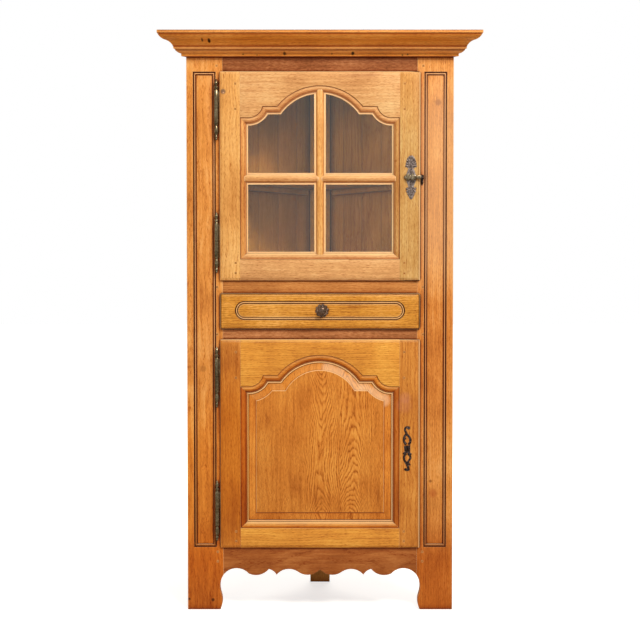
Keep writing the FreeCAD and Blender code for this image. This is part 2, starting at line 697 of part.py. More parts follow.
def moulded_opening(crown, bottom):
    """What is cut from a door to make its arched opening and the moulding round it."""
    wires = [arched_outline(crown, bottom, STICKING_WIDTH, DOOR_BACK + OVERRUN)]
    for across, deep in STICKING_LEVEL_SHARES:
        wires.append(arched_outline(crown, bottom, STICKING_WIDTH * (1 - across),
                                    -DOOR_PROUD + deep * STICKING_DEPTH))
    wires.append(arched_outline(crown, bottom, 0, -DOOR_PROUD - OVERRUN))
    return loft(wires)


def spring_height(crown):
    centre = arch_points(crown, 0)
    return centre[2] - ARCH_STEP


def frame_regions(bottom, top, crown, sill):
    """Outlines that part a door's frame into its pieces, with a mitre across the moulding."""
    spring = spring_height(crown)
    low = bottom - OVERRUN
    high = top + OVERRUN
    wide = DOOR_HALF + OVERRUN
    stile = [(-wide, low), (-OUTER_HALF, low), (-OUTER_HALF, sill),
             (-SIGHT_HALF, sill + STICKING_WIDTH), (-SIGHT_HALF, spring - STICKING_WIDTH),
             (-OUTER_HALF, spring), (-OUTER_HALF, high), (-wide, high)]
    top_rail = [(-OUTER_HALF, high), (-OUTER_HALF, spring), (-SIGHT_HALF, spring - STICKING_WIDTH),
                (SIGHT_HALF, spring - STICKING_WIDTH), (OUTER_HALF, spring), (OUTER_HALF, high)]
    bottom_rail = [(-OUTER_HALF, low), (-OUTER_HALF, sill), (-SIGHT_HALF, sill + STICKING_WIDTH),
                   (SIGHT_HALF, sill + STICKING_WIDTH), (OUTER_HALF, sill), (OUTER_HALF, low)]
    return stile, top_rail, bottom_rail


def region(outline):
    return front_polygon(outline, -DOOR_PROUD - OVERRUN, DOOR_BACK + OVERRUN)


def door_frame(bottom, top, bottom_rail, crown_rail, carved):
    """The two stiles and two rails of a door, tenoned and pegged. carved is the whole frame in one."""
    sill = bottom + bottom_rail
    crown = top - crown_rail
    stile_line, top_line, bottom_line = frame_regions(bottom, top, crown, sill)
    front = -DOOR_PROUD + TENON_FRONT_CHEEK
    back = front + DOOR_TENON_THICKNESS
    spans = ((bottom + DOOR_TENON_SHOULDER, sill), (spring_height(crown), top - DOOR_TENON_SHOULDER))
    tenons = []
    pegs = []
    for z0, z1 in spans:
        left = box(-OUTER_HALF - DOOR_TENON_LENGTH, -OUTER_HALF, front, back, z0, z1)
        tenons.append([left, mirrored(left)])
        for share in DOOR_PEG_SHARES:
            x = -OUTER_HALF - DOOR_PEG_INSET
            z = z0 + share * (z1 - z0)
            half = PEG_SIZE / 2
            peg = box(x - half, x + half, -DOOR_PROUD, -DOOR_PROUD + DOOR_PEG_DEPTH, z - half, z + half)
            pegs += [peg, mirrored(peg)]
    stile_tool = region(stile_line)
    left_tools = [pair[0] for pair in tenons] + pegs
    right_tools = [pair[1] for pair in tenons] + pegs
    return {
        "hinge_stile": carved.common(stile_tool).cut(left_tools),
        "lock_stile": carved.common(mirrored(stile_tool)).cut(right_tools),
        "bottom_rail": joined([carved.common(region(bottom_line))] + tenons[0]).cut(pegs),
        "top_rail": joined([carved.common(region(top_line))] + tenons[1]).cut(pegs),
        "pegs": pegs,
    }


def sticking_depth(across):
    """Depth of the moulding's surface at a distance out from the sight line, as a share of its width."""
    levels = STICKING_LEVEL_SHARES
    for (a, deep_a), (b, deep_b) in zip(levels, levels[1:]):
        if a <= across <= b and b > a:
            return STICKING_DEPTH * (deep_a + (deep_b - deep_a) * (across - a) / (b - a))
    return 0


def bar_section():
    """Section of a glazing bar: the moulding of the frame on both sides of a ridge, and a core behind."""
    half = BAR_WIDTH / 2
    face = [(half - across * STICKING_WIDTH, -DOOR_PROUD + deep * STICKING_DEPTH)
            for across, deep in STICKING_LEVEL_SHARES if across * STICKING_WIDTH < half]
    ridge = (0, -DOOR_PROUD + sticking_depth(half / STICKING_WIDTH) - BAR_RIDGE)
    shoulder = -DOOR_PROUD + REBATE_DEPTH
    core = half - REBATE_WIDTH
    right = [(core, DOOR_BACK), (core, shoulder), (half, shoulder)] + face
    left = [(-x, y) for x, y in reversed(right)]
    return right + [ridge] + left


def glazing_bars(frame, sill, crown):
    ends = STICKING_WIDTH
    upright = plan_polygon(bar_section(), sill + STICKING_WIDTH - ends / 2,
                           crown - STICKING_WIDTH + ends / 2).cut(frame)
    upright = largest(upright)
    profile = flat_face([Vector(-SIGHT_HALF - ends / 2, y, CROSS_BAR_Z + x) for x, y in bar_section()])
    left = profile.extrude(Vector(SIGHT_HALF + ends / 2, 0, 0)).cut([frame, upright])
    left = largest(left)
    return upright, left, mirrored(left)


def upper_door():
    sill = UPPER_DOOR_BOTTOM + UPPER_BOTTOM_RAIL
    crown = UPPER_DOOR_TOP - UPPER_CROWN_RAIL
    blank = lipped_blank(UPPER_DOOR_BOTTOM, UPPER_DOOR_TOP, LIP_WIDTH, LIP_WIDTH)
    rebate_line = STICKING_WIDTH - REBATE_WIDTH
    glass_front = -DOOR_PROUD + REBATE_DEPTH
    glass_back = glass_front + GLASS_THICKNESS
    rebate = arched_prism(crown, sill, rebate_line, glass_front, DOOR_BACK + OVERRUN)
    carved = blank.cut([moulded_opening(crown, sill), rebate])
    pieces = door_frame(UPPER_DOOR_BOTTOM, UPPER_DOOR_TOP, UPPER_BOTTOM_RAIL, UPPER_CROWN_RAIL, carved)
    bars = glazing_bars(carved, sill, crown)
    glass = arched_prism(crown, sill, rebate_line, glass_front, glass_back).cut(list(bars))
    bead_ring = arched_prism(crown, sill, rebate_line, glass_back, glass_back + BEAD_THICKNESS)
    beads = bead_ring.cut([bead_openings(sill, crown, glass_back)] + list(bars))
    return pieces, bars, glass.Solids, beads.Solids


def bead_openings(sill, crown, front):
    """The four clear openings inside the glazing beads, one behind each pane."""
    depth0 = front - OVERRUN
    depth1 = front + BEAD_THICKNESS + OVERRUN
    whole = arched_prism(crown, sill, STICKING_WIDTH, depth0, depth1)
    half = BAR_WIDTH / 2
    upright = box(-half, half, depth0, depth1, UPPER_DOOR_BOTTOM, UPPER_DOOR_TOP)
    across = box(-DOOR_HALF, DOOR_HALF, depth0, depth1, CROSS_BAR_Z - half, CROSS_BAR_Z + half)
    return whole.cut([upright, across])


def raised_panel(sill, crown):
    """A fielded panel: a tongue in the frame's groove, a sloped border, a step and a raised field."""
    front = -DOOR_PROUD + REBATE_DEPTH
    back = front + PANEL_TONGUE_THICKNESS
    tongue_inset = STICKING_WIDTH - PANEL_GROOVE_DEPTH + PANEL_PLAY
    tongue = arched_prism(crown, sill, tongue_inset, front, back, False)
    foot = STICKING_WIDTH + PANEL_FOOT_GAP
    brow = STICKING_WIDTH + PANEL_BEVEL_WIDTH - PANEL_STEP_WIDTH
    field = STICKING_WIDTH + PANEL_BEVEL_WIDTH
    face = -DOOR_PROUD + PANEL_FIELD_DEPTH
    raised = loft([
        arched_outline(crown, sill, foot, front + PANEL_TONGUE_THICKNESS / 2, False),
        arched_outline(crown, sill, foot, front, False),
        arched_outline(crown, sill, brow, face + PANEL_STEP_DEPTH, False),
        arched_outline(crown, sill, field, face, False),
    ])
    return joined([tongue, raised])


def lower_door():
    sill = LOWER_DOOR_BOTTOM + LOWER_BOTTOM_RAIL
    crown = LOWER_DOOR_TOP - LOWER_CROWN_RAIL
    blank = lipped_blank(LOWER_DOOR_BOTTOM, LOWER_DOOR_TOP, LIP_WIDTH, LIP_WIDTH)
    front = -DOOR_PROUD + REBATE_DEPTH
    groove = arched_prism(crown, sill, STICKING_WIDTH - PANEL_GROOVE_DEPTH, front,
                          front + PANEL_TONGUE_THICKNESS, False)
    carved = blank.cut([moulded_opening(crown, sill), groove])
    pieces = door_frame(LOWER_DOOR_BOTTOM, LOWER_DOOR_TOP, LOWER_BOTTOM_RAIL, LOWER_CROWN_RAIL, carved)
    return pieces, raised_panel(sill, crown)


# Hinges

def finial(z, height, axis):
    return turned(FINIAL_SHARES, BARREL_RADIUS, height, Vector(HINGE_X, HINGE_Y, z), axis, FINIAL_SIDES)


def door_hinge_half(joint):
    """The upper half of a hinge, bored for the pin, with its blade let into the door."""
    low = joint + KNUCKLE_GAP
    high = joint + UPPER_BARREL
    axis = Vector(HINGE_X, HINGE_Y, low)
    barrel = Part.makeCylinder(BARREL_RADIUS, high - low, axis)
    tip = finial(high, TOP_FINIAL, Vector(0, 0, 1))
    back = HINGE_Y + BARREL_RADIUS - BLADE_SET_IN
    blade = box(HINGE_X, HINGE_X + DOOR_BLADE_REACH, back - BLADE_THICKNESS, back,
                low + BLADE_END_MARGIN, high - BLADE_END_MARGIN)
    bore = Part.makeCylinder(PIN_RADIUS + PIN_CLEARANCE, joint + PIN_LENGTH + KNUCKLE_GAP - low + OVERRUN,
                             Vector(HINGE_X, HINGE_Y, low - OVERRUN))
    return joined([barrel, tip, blade]).cut(bore)


def frame_hinge_half(joint):
    """The lower half of a hinge, with the fixed pin, and its blade let into the stile."""
    low = joint - LOWER_BARREL
    barrel = Part.makeCylinder(BARREL_RADIUS, LOWER_BARREL, Vector(HINGE_X, HINGE_Y, low))
    pin = Part.makeCylinder(PIN_RADIUS, PIN_LENGTH, Vector(HINGE_X, HINGE_Y, joint))
    tip = finial(low, BOTTOM_FINIAL, Vector(0, 0, -1))
    return joined([barrel, pin, tip, frame_blade(joint)])


def frame_blade(joint):
    half = BLADE_THICKNESS / 2
    return box(HINGE_X - half, HINGE_X + half, HINGE_Y, FRAME_BLADE_REACH,
               joint - LOWER_BARREL + BLADE_END_MARGIN, joint - BLADE_END_MARGIN)


HINGE_JOINTS = {
    "upper_door_top_hinge": UPPER_DOOR_TOP - HINGE_FROM_DOOR_TOP,
    "upper_door_bottom_hinge": UPPER_DOOR_BOTTOM + HINGE_FROM_DOOR_BOTTOM,
    "lower_door_top_hinge": LOWER_DOOR_TOP - HINGE_FROM_DOOR_TOP,
    "lower_door_bottom_hinge": LOWER_DOOR_BOTTOM + HINGE_FROM_DOOR_BOTTOM,
}


# Slide bolt and its keeper

BOLT_X = DOOR_HALF - BOLT_PLATE_OFFSET
BOLT_Z = CROSS_BAR_Z + BOLT_OVER_BAR
BOLT_TIP = DOOR_HALF + KEEPER_GAP - BOLT_PARK_GAP
BAR_BACK = -DOOR_PROUD - BOLT_PLATE_THICKNESS - BOLT_PLAY
BAR_FRONT = BAR_BACK - BOLT_BAR_THICKNESS


def bolt_plate():
    """The leaf-shaped plate of the slide bolt, with the two staples that the bolt runs in."""
    front = -DOOR_PROUD - BOLT_PLATE_THICKNESS
    wide = BOLT_PLATE_HALF_WIDTH
    tall = BOLT_PLATE_HALF_HEIGHT
    right = [(wide * x, tall * z) for x, z in PLATE_SPINE_SHARES]
    left = [(-x, z) for x, z in reversed(right[:-1])]
    spine = [(BOLT_X + x, BOLT_Z + z) for x, z in right + left]
    pieces = [front_polygon(spine, front, -DOOR_PROUD)]
    for x, z, radius in PLATE_LOBE_SHARES:
        for side in ((-1, 1) if x else (1,)):
            centre_x = BOLT_X + side * x * wide
            pieces.append(lobe(centre_x, BOLT_Z + z * tall, radius * wide, front, -DOOR_PROUD))
    for share in STAPLE_SHARES:
        x = BOLT_TIP - BOLT_BAR_LENGTH * (1 - share)
        pieces.append(staple(x - STAPLE_WIDTH / 2, x + STAPLE_WIDTH / 2, front))
    return joined(pieces)


def staple(x0, x1, back):
    """A strap bent over the bolt's bar, with its play all round."""
    inner = BOLT_BAR_HEIGHT / 2 + BOLT_PLAY
    outer = inner + STAPLE_THICKNESS
    roof = BAR_FRONT - BOLT_PLAY
    strap = box(x0, x1, roof - STAPLE_THICKNESS, back, BOLT_Z - outer, BOLT_Z + outer)
    return strap.cut(box(x0 - OVERRUN, x1 + OVERRUN, roof, back, BOLT_Z - inner, BOLT_Z + inner))


def slide_bolt():
    half = BOLT_BAR_HEIGHT / 2
    bar = box(BOLT_TIP - BOLT_BAR_LENGTH, BOLT_TIP, BAR_FRONT, BAR_BACK, BOLT_Z - half, BOLT_Z + half)
    foot = Vector(BOLT_TIP - BOLT_BAR_LENGTH * (1 - BOLT_KNOB_PLACE_SHARE), BAR_FRONT, BOLT_Z)
    knob = turned(BOLT_KNOB_SHARES, BOLT_KNOB_RADIUS, BOLT_KNOB_REACH, foot, Vector(0, -1, 0),
                  BOLT_KNOB_SIDES)
    return joined([bar, knob])


def bolt_keeper():
    """The loop on the cabinet's stile that the slide bolt shoots into, over a pointed drop."""
    x0 = DOOR_HALF + KEEPER_GAP
    x1 = x0 + KEEPER_WIDTH
    inner = BOLT_BAR_HEIGHT / 2 + 2 * BOLT_PLAY
    outer = inner + KEEPER_THICKNESS
    roof = BAR_FRONT - 2 * BOLT_PLAY
    loop = box(x0, x1, roof - KEEPER_THICKNESS, 0, BOLT_Z - outer, BOLT_Z + outer)
    slot = box(x0 - OVERRUN, x1 + OVERRUN, roof, -KEEPER_THICKNESS, BOLT_Z - inner, BOLT_Z + inner)
    drop = front_polygon([(x0, BOLT_Z - outer), (x1, BOLT_Z - outer),
                          ((x0 + x1) / 2, BOLT_Z - outer - KEEPER_DROP)], -KEEPER_THICKNESS, 0)
    return joined([loop.cut(slot), drop])


# Lock of the lower door

KEYHOLE_X = DOOR_HALF - KEYHOLE_FROM_EDGE
KEYHOLE_Z = (LOWER_DOOR_BOTTOM + LOWER_DOOR_TOP) / 2 - LOCK_DROP
LOCK_EDGE = OPENING_HALF - DOOR_SIDE_GAP
LOCK_BOLT_Y = DOOR_BACK + LOCK_CASE_WALL + LOCK_BOLT_PLAY


def keyhole(y0, y1):
    round_part = disc(KEYHOLE_X, KEYHOLE_Z, KEYHOLE_RADIUS, y0, y1)
    half = KEYHOLE_SLOT_WIDTH / 2
    slot = box(KEYHOLE_X - half, KEYHOLE_X + half, y0, y1, KEYHOLE_Z - KEYHOLE_SLOT_DROP, KEYHOLE_Z)
    return joined([round_part, slot])


def keyhole_plate():
    """The openwork scroll plate round the keyhole."""
    front = -DOOR_PROUD - KEYHOLE_PLATE_THICKNESS
    size = KEYHOLE_PLATE_HALF_HEIGHT

    def lobes(shares, y0, y1):
        return [lobe(KEYHOLE_X + x * size, KEYHOLE_Z + z * size, r * size, y0, y1) for x, z, r in shares]

    pieces = lobes(SCROLL_LOBE_SHARES, front, -DOOR_PROUD)
    for shares in SCROLL_LINK_SHARES:
        outline = [(KEYHOLE_X + x * size, KEYHOLE_Z + z * size) for x, z in shares]
        pieces.append(front_polygon(outline, front, -DOOR_PROUD))
    holes = lobes(SCROLL_HOLE_SHARES, front - OVERRUN, -DOOR_PROUD + OVERRUN)
    return joined(pieces).cut(holes + [keyhole(front - OVERRUN, -DOOR_PROUD + OVERRUN)])


def lock_bolt(play):
    half = LOCK_BOLT_HEIGHT / 2 + play
    return box(LOCK_EDGE - LOCK_BOLT_LENGTH - play, LOCK_EDGE + (OVERRUN if play else 0),
               LOCK_BOLT_Y - play, LOCK_BOLT_Y + LOCK_BOLT_THICKNESS + play,
               KEYHOLE_Z - half, KEYHOLE_Z + half)


def lock_case():
    half = LOCK_CASE_HEIGHT / 2
    case = box(LOCK_EDGE - LOCK_CASE_WIDTH, LOCK_EDGE, DOOR_BACK, DOOR_BACK + LOCK_CASE_THICKNESS,
               KEYHOLE_Z - half, KEYHOLE_Z + half)
    return case.cut(lock_bolt(LOCK_BOLT_PLAY))


def lock_mortise():
    """The slot in the right stile that the lock's bolt shoots into."""
    bolt = lock_bolt(LOCK_BOLT_PLAY).BoundBox
    end = LOCK_EDGE + LOCK_BOLT_TRAVEL + LOCK_MORTISE_END_GAP
    return box(OPENING_HALF - OVERRUN, end, bolt.YMin, bolt.YMax, bolt.ZMin, bolt.ZMax)


# Drawer

DRAWER_BOTTOM = DRAWER_OPENING_BOTTOM + DRAWER_PLAY
DRAWER_TOP = DRAWER_OPENING_TOP - DRAWER_SIDE_DROP
DRAWER_END = DOOR_BACK + DRAWER_LENGTH
DRAWER_OUTSIDE_HALF = OPENING_HALF - DRAWER_SIDE_GAP
DRAWER_BACK_HALF = HALF_WIDTH - BACK_INSIDE - DRAWER_END - DRAWER_WALL_GAP
DRAWER_SLOPE = (DRAWER_OUTSIDE_HALF - DRAWER_BACK_HALF) / DRAWER_LENGTH
SIDE_RUN = DRAWER_SIDE_THICKNESS * math.sqrt(1 + DRAWER_SLOPE ** 2)
SEAT_RUN = DRAWER_BOTTOM_SEAT * math.sqrt(1 + DRAWER_SLOPE ** 2)


def drawer_half(y):
    """Half the drawer's outside width at depth y."""
    return DRAWER_OUTSIDE_HALF - DRAWER_SLOPE * (y - DOOR_BACK)


def drawer_bottom():
    y0 = DOOR_BACK - DRAWER_BOTTOM_SEAT
    half0 = drawer_half(y0) - SIDE_RUN + SEAT_RUN
    half1 = drawer_half(DRAWER_END) - SIDE_RUN + SEAT_RUN
    z0 = DRAWER_BOTTOM + DRAWER_BOTTOM_RISE
    plan = [(-half0, y0), (half0, y0), (half1, DRAWER_END), (-half1, DRAWER_END)]
    return plan_polygon(plan, z0, z0 + DRAWER_BOTTOM_THICKNESS)


def drawer_left_side():
    plan = [(-drawer_half(DOOR_BACK), DOOR_BACK), (-drawer_half(DRAWER_END), DRAWER_END),
            (-drawer_half(DRAWER_END) + SIDE_RUN, DRAWER_END),
            (-drawer_half(DOOR_BACK) + SIDE_RUN, DOOR_BACK)]
    return plan_polygon(plan, DRAWER_BOTTOM, DRAWER_TOP).cut(drawer_bottom())


def drawer_back():
    y0 = DRAWER_END - DRAWER_SIDE_THICKNESS
    half0 = drawer_half(y0) - SIDE_RUN
    half1 = drawer_half(DRAWER_END) - SIDE_RUN
    plan = [(-half0, y0), (half0, y0), (half1, DRAWER_END), (-half1, DRAWER_END)]
    return plan_polygon(plan, DRAWER_BOTTOM + DRAWER_BOTTOM_RISE + DRAWER_BOTTOM_THICKNESS, DRAWER_TOP)


def track_outline(inset, y):
    """A long outline with half-round ends, drawn inside the moulding's outer line by inset."""
    z = (DRAWER_OPENING_BOTTOM + DRAWER_OPENING_TOP) / 2 + TRACK_RISE
    radius = TRACK_HEIGHT / 2 - inset
    straight = DOOR_HALF - TRACK_END_MARGIN - TRACK_HEIGHT / 2
    a = Vector(-straight, y, z - radius)
    b = Vector(straight, y, z - radius)
    c = Vector(straight, y, z + radius)
    d = Vector(-straight, y, z + radius)
    return Part.Wire([
        line(a, b),
        arc(b, Vector(straight + radius, y, z), c),
        line(c, d),
        arc(d, Vector(-straight - radius, y, z), a),
    ])


def drawer_track():
    """The half-round-ended moulding run round the drawer front."""
    wires = [track_outline(0, -DOOR_PROUD - OVERRUN)]
    for across, deep in TRACK_LEVEL_SHARES:
        wires.append(track_outline(across * TRACK_WIDTH, -DOOR_PROUD + deep * TRACK_DEPTH))
    field = Part.Face(track_outline(TRACK_WIDTH, -DOOR_PROUD - 2 * OVERRUN))
    return loft(wires).cut(field.extrude(Vector(0, 4 * OVERRUN, 0)))


KNOB_Z = (DRAWER_OPENING_BOTTOM + DRAWER_OPENING_TOP) / 2 + TRACK_RISE


def drawer_front():
    blank = lipped_blank(DRAWER_OPENING_BOTTOM - DOOR_LAP, DRAWER_OPENING_TOP + DOOR_LAP,
                         DRAWER_LIP_WIDTH, LIP_WIDTH)
    hole = disc(KNOB_OFF_CENTRE, KNOB_Z, SPINDLE_RADIUS + SPINDLE_PLAY, -DOOR_PROUD - OVERRUN,
                -DOOR_PROUD + SPINDLE_LENGTH + SPINDLE_PLAY)
    return blank.cut([drawer_track(), drawer_bottom(), hole])


def knob_rosette():
    """A thin round plate with a petalled edge, behind the knob."""
    front = -DOOR_PROUD - ROSETTE_THICKNESS
    edge = []
    for index in range(ROSETTE_PETALS):
        for along, out in PETAL_EDGE_SHARES:
            turn = 2 * math.pi * (index + along) / ROSETTE_PETALS
            radius = out * ROSETTE_RADIUS
            edge.append((KNOB_OFF_CENTRE + radius * math.cos(turn), KNOB_Z + radius * math.sin(turn)))
    hole = disc(KNOB_OFF_CENTRE, KNOB_Z, SPINDLE_RADIUS + SPINDLE_PLAY, front - OVERRUN, 0)
    return front_polygon(edge, front, -DOOR_PROUD).cut(hole)


def drawer_knob():
    foot = Vector(KNOB_OFF_CENTRE, -DOOR_PROUD - ROSETTE_THICKNESS, KNOB_Z)
    dome = turned(KNOB_SHARES, KNOB_RADIUS, KNOB_HEIGHT, foot, Vector(0, -1, 0), KNOB_SIDES)
    spindle = disc(KNOB_OFF_CENTRE, KNOB_Z, SPINDLE_RADIUS, foot.y, -DOOR_PROUD + SPINDLE_LENGTH)
    return joined([dome, spindle])


def drawer_runner():
    half = RUNNER_WIDTH / 2
    return box(-half, half, FRAME_THICKNESS, BODY_DEPTH - BACK_THICKNESS / math.sqrt(2) - POST_DEPTH,
               DRAWER_OPENING_BOTTOM, DRAWER_OPENING_BOTTOM + RUNNER_HEIGHT)


def drawer_guides():
    """Two cleats under the drawer that straddle the runner."""
    x0 = RUNNER_WIDTH / 2 + DRAWER_PLAY
    top = DRAWER_BOTTOM + DRAWER_BOTTOM_RISE
    right = box(x0, x0 + GUIDE_WIDTH, DOOR_BACK, DRAWER_END, DRAWER_BOTTOM, top)
    return [mirrored(right), right]


# All pieces

def main():
    os.makedirs("parts", exist_ok=True)
    stile = left_stile()
    blades = [frame_blade(joint) for joint in HINGE_JOINTS.values()]
    save("left_front_stile", [stile.cut(blades)])
    save("right_front_stile", [mirrored(stile).cut(lock_mortise())])
    for name in ("frieze_rail", "upper_cross_rail", "lower_cross_rail"):
        save(name, [plain_rail(name)])
    save("apron_rail", [apron_rail()])
    save("frame_pegs", frame_pegs())
    save("cornice_moulding", [cornice()])
    save("top_board", [top_board()])
    save("rear_post", [rear_post()])
    boards = left_back_boards()
    save("left_back_boards", boards)
    save("right_back_boards", [mirrored(piece) for piece in boards])
    for name, top in BOARD_TOPS.items():
        save(name, [board(FRAME_THICKNESS, top, SHELF_THICKNESS)])
    for name, top in SHELF_TOPS.items():
        save(name, [board(FRAME_THICKNESS + SHELF_FRONT_GAP, top, SHELF_THICKNESS)])
    save("shelf_battens", battens())
    save("drawer_runner", [drawer_runner()])

    pieces, bars, panes, beads = upper_door()
    upper_blades = []
    lower_blades = []
    for name, joint in HINGE_JOINTS.items():
        half = door_hinge_half(joint)
        save(name + "_door_half", [half])
        save(name + "_frame_half", [frame_hinge_half(joint)])
        (upper_blades if name.startswith("upper") else lower_blades).append(half)
    save("upper_door_hinge_stile", [pieces["hinge_stile"].cut(upper_blades)])
    save("upper_door_lock_stile", [pieces["lock_stile"]])
    save("upper_door_top_rail", [pieces["top_rail"]])
    save("upper_door_bottom_rail", [pieces["bottom_rail"]])
    save("upper_door_pegs", pieces["pegs"])
    save("glazing_upright_bar", [bars[0]])
    save("glazing_left_bar", [bars[1]])
    save("glazing_right_bar", [bars[2]])
    for pane in panes:
        centre = pane.BoundBox.Center
        level = "top" if centre.z > CROSS_BAR_Z else "bottom"
        side = "left" if centre.x < 0 else "right"
        save("glass_" + level + "_" + side, [pane])
    save("glazing_beads", beads)
    save("bolt_plate", [bolt_plate()])
    save("slide_bolt", [slide_bolt()])
    save("bolt_keeper", [bolt_keeper()])

    pieces, panel = lower_door()
    save("lower_door_hinge_stile", [pieces["hinge_stile"].cut(lower_blades)])
    save("lower_door_lock_stile", [pieces["lock_stile"].cut(keyhole(-DOOR_PROUD - OVERRUN, DOOR_BACK))])
    save("lower_door_top_rail", [pieces["top_rail"]])
    save("lower_door_bottom_rail", [pieces["bottom_rail"]])
    save("lower_door_pegs", pieces["pegs"])
    save("raised_panel", [panel])
    save("keyhole_plate", [keyhole_plate()])
    save("lock_case", [lock_case()])
    save("lock_bolt", [lock_bolt(0)])

    left_side = drawer_left_side()
    save("drawer_front", [drawer_front()])
    save("drawer_left_side", [left_side])
    save("drawer_right_side", [mirrored(left_side)])
    save("drawer_back", [drawer_back()])
    save("drawer_bottom", [drawer_bottom()])
    save("drawer_guides", drawer_guides())
    save("knob_rosette", [knob_rosette()])
    save("drawer_knob", [drawer_knob()])


main()
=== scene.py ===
import json
import math

import bpy
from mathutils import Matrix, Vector

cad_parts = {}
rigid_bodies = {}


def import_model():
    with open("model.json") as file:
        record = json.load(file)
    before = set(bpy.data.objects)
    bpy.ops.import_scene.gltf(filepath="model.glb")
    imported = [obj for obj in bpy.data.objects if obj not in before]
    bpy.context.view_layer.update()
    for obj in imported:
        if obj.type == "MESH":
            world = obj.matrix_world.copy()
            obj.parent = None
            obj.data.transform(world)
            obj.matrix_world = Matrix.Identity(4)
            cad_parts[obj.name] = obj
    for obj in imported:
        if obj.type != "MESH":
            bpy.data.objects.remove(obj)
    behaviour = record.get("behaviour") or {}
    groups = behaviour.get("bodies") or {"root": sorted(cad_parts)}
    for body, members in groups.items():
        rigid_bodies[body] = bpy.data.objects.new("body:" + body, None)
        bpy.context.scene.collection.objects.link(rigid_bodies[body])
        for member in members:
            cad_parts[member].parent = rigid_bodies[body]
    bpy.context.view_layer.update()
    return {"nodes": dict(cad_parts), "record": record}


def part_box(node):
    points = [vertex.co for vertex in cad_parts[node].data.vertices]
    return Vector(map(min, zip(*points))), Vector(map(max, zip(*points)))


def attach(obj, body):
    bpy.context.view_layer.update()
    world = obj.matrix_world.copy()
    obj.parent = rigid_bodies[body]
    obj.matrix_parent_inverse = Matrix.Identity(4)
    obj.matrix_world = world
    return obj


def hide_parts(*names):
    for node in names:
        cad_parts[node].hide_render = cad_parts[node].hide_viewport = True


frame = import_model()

# A country corner cabinet in waxed oak, dressed over its frame. Everything is in metres, X along the
# front, Y back into the corner of the room, Z up.

NODES = frame["nodes"]
SLOT_OF = {part["node"]: part["material_slot"] for part in frame["record"]["subparts"]}
BODIES = frame["record"]["behaviour"]["bodies"]
BODY_OF = {node: body for body, members in BODIES.items() for node in members}
MM = 0.001
FULL_TURN = 2 * math.pi


# Small tools of the bench

def linear(hex_colour):
    """The linear colour of an sRGB hex value."""
    channels = [int(hex_colour[i:i + 2], 16) / 255 for i in (1, 3, 5)]
    return [c / 12.92 if c <= 0.04045 else ((c + 0.055) / 1.055) ** 2.4 for c in channels] + [1]


def feed(tree, node, inputs):
    """Gives a node its inputs: what another node gives is linked, and the rest are plain values."""
    for name, value in inputs.items():
        if isinstance(value, bpy.types.NodeSocket):
            tree.links.new(value, node.inputs[name])
        else:
            node.inputs[name].default_value = value


def add(tree, kind, inputs, output=0, **settings):
    """Adds one node with its settings, its values and its links, and gives back one of its outputs."""
    node = tree.nodes.new("ShaderNode" + kind)
    for name, value in settings.items():
        setattr(node, name, value)
    feed(tree, node, inputs)
    return node.outputs[output]


def set_ramp(colour, stops):
    """Sets the stops of a colour ramp, as (place, colour)."""
    elements = colour.node.color_ramp.elements
    while len(elements) < len(stops):
        elements.new(1)
    for element, (place, value) in zip(elements, stops):
        element.position = place
        element.color = value
    return colour


def new_material(name):
    """A new material, its nodes, and the shader among them."""
    material = bpy.data.materials.new(name)
    material.use_nodes = True
    return material, material.node_tree, material.node_tree.nodes["Principled BSDF"]


def take(*pieces):
    """Selects these pieces and nothing else, with the first one active."""
    bpy.ops.object.select_all(action="DESELECT")
    for piece in pieces:
        piece.select_set(True)
    bpy.context.view_layer.objects.active = pieces[0]
    return pieces[0]


def laid_down(piece):
    """Moves the place, turn and size of an object into its mesh."""
    take(piece)
    bpy.ops.object.transform_apply(location=True, rotation=True, scale=True)
    return piece


def block(low, high):
    """A rough block between two corners, in metres."""
    bpy.ops.object.select_all(action="DESELECT")
    middle = [(a + b) / 2 for a, b in zip(low, high)]
    size = [b - a for a, b in zip(low, high)]
    bpy.ops.mesh.primitive_cube_add(size=1, location=middle, scale=size)
    return laid_down(bpy.context.active_object)


def close_up(piece):
    """Merges what coincides and turns every face outwards."""
    take(piece)
    bpy.ops.object.mode_set(mode="EDIT")
    bpy.ops.mesh.select_all(action="SELECT")
    bpy.ops.mesh.remove_doubles(threshold=0.01 * MM)
    bpy.ops.mesh.normals_make_consistent(inside=False)
    bpy.ops.object.mode_set(mode="OBJECT")
    return piece


def work(piece, kind, **settings):
    """Puts a modifier on a piece and applies it."""
    take(piece)
    modifier = piece.modifiers.new(kind.lower(), kind)
    for name, value in settings.items():
        setattr(modifier, name, value)
    bpy.ops.object.modifier_apply(modifier=modifier.name)
    return piece


def combine(piece, tool, operation):
    """Joins two closed pieces, or cuts the second out of the first, and takes the second away."""
    work(piece, "BOOLEAN", operation=operation, object=tool, solver="EXACT")
    bpy.data.objects.remove(tool)
    return piece


def ease(piece, width, angle=30, segments=2):
    """Takes the sharpness off the edges of a piece."""
    return work(piece, "BEVEL", width=width, segments=segments, limit_method="ANGLE",
                angle_limit=math.radians(angle), use_clamp_overlap=True)


def bevel_where(piece, chosen, offset, segments):
    """Bevels the edges both of whose ends answer to a test of place."""
    take(piece)
    bpy.ops.object.mode_set(mode="EDIT")
    bpy.ops.mesh.select_mode(type="EDGE")
    bpy.ops.mesh.select_all(action="DESELECT")
    bpy.ops.object.mode_set(mode="OBJECT")
    corners = piece.data.vertices
    for edge in piece.data.edges:
        edge.select = all(chosen(corners[index].co) for index in edge.vertices)
    bpy.ops.object.mode_set(mode="EDIT")
    bpy.ops.mesh.bevel(offset=offset, segments=segments, affect="EDGES")
    bpy.ops.object.mode_set(mode="OBJECT")
    return piece


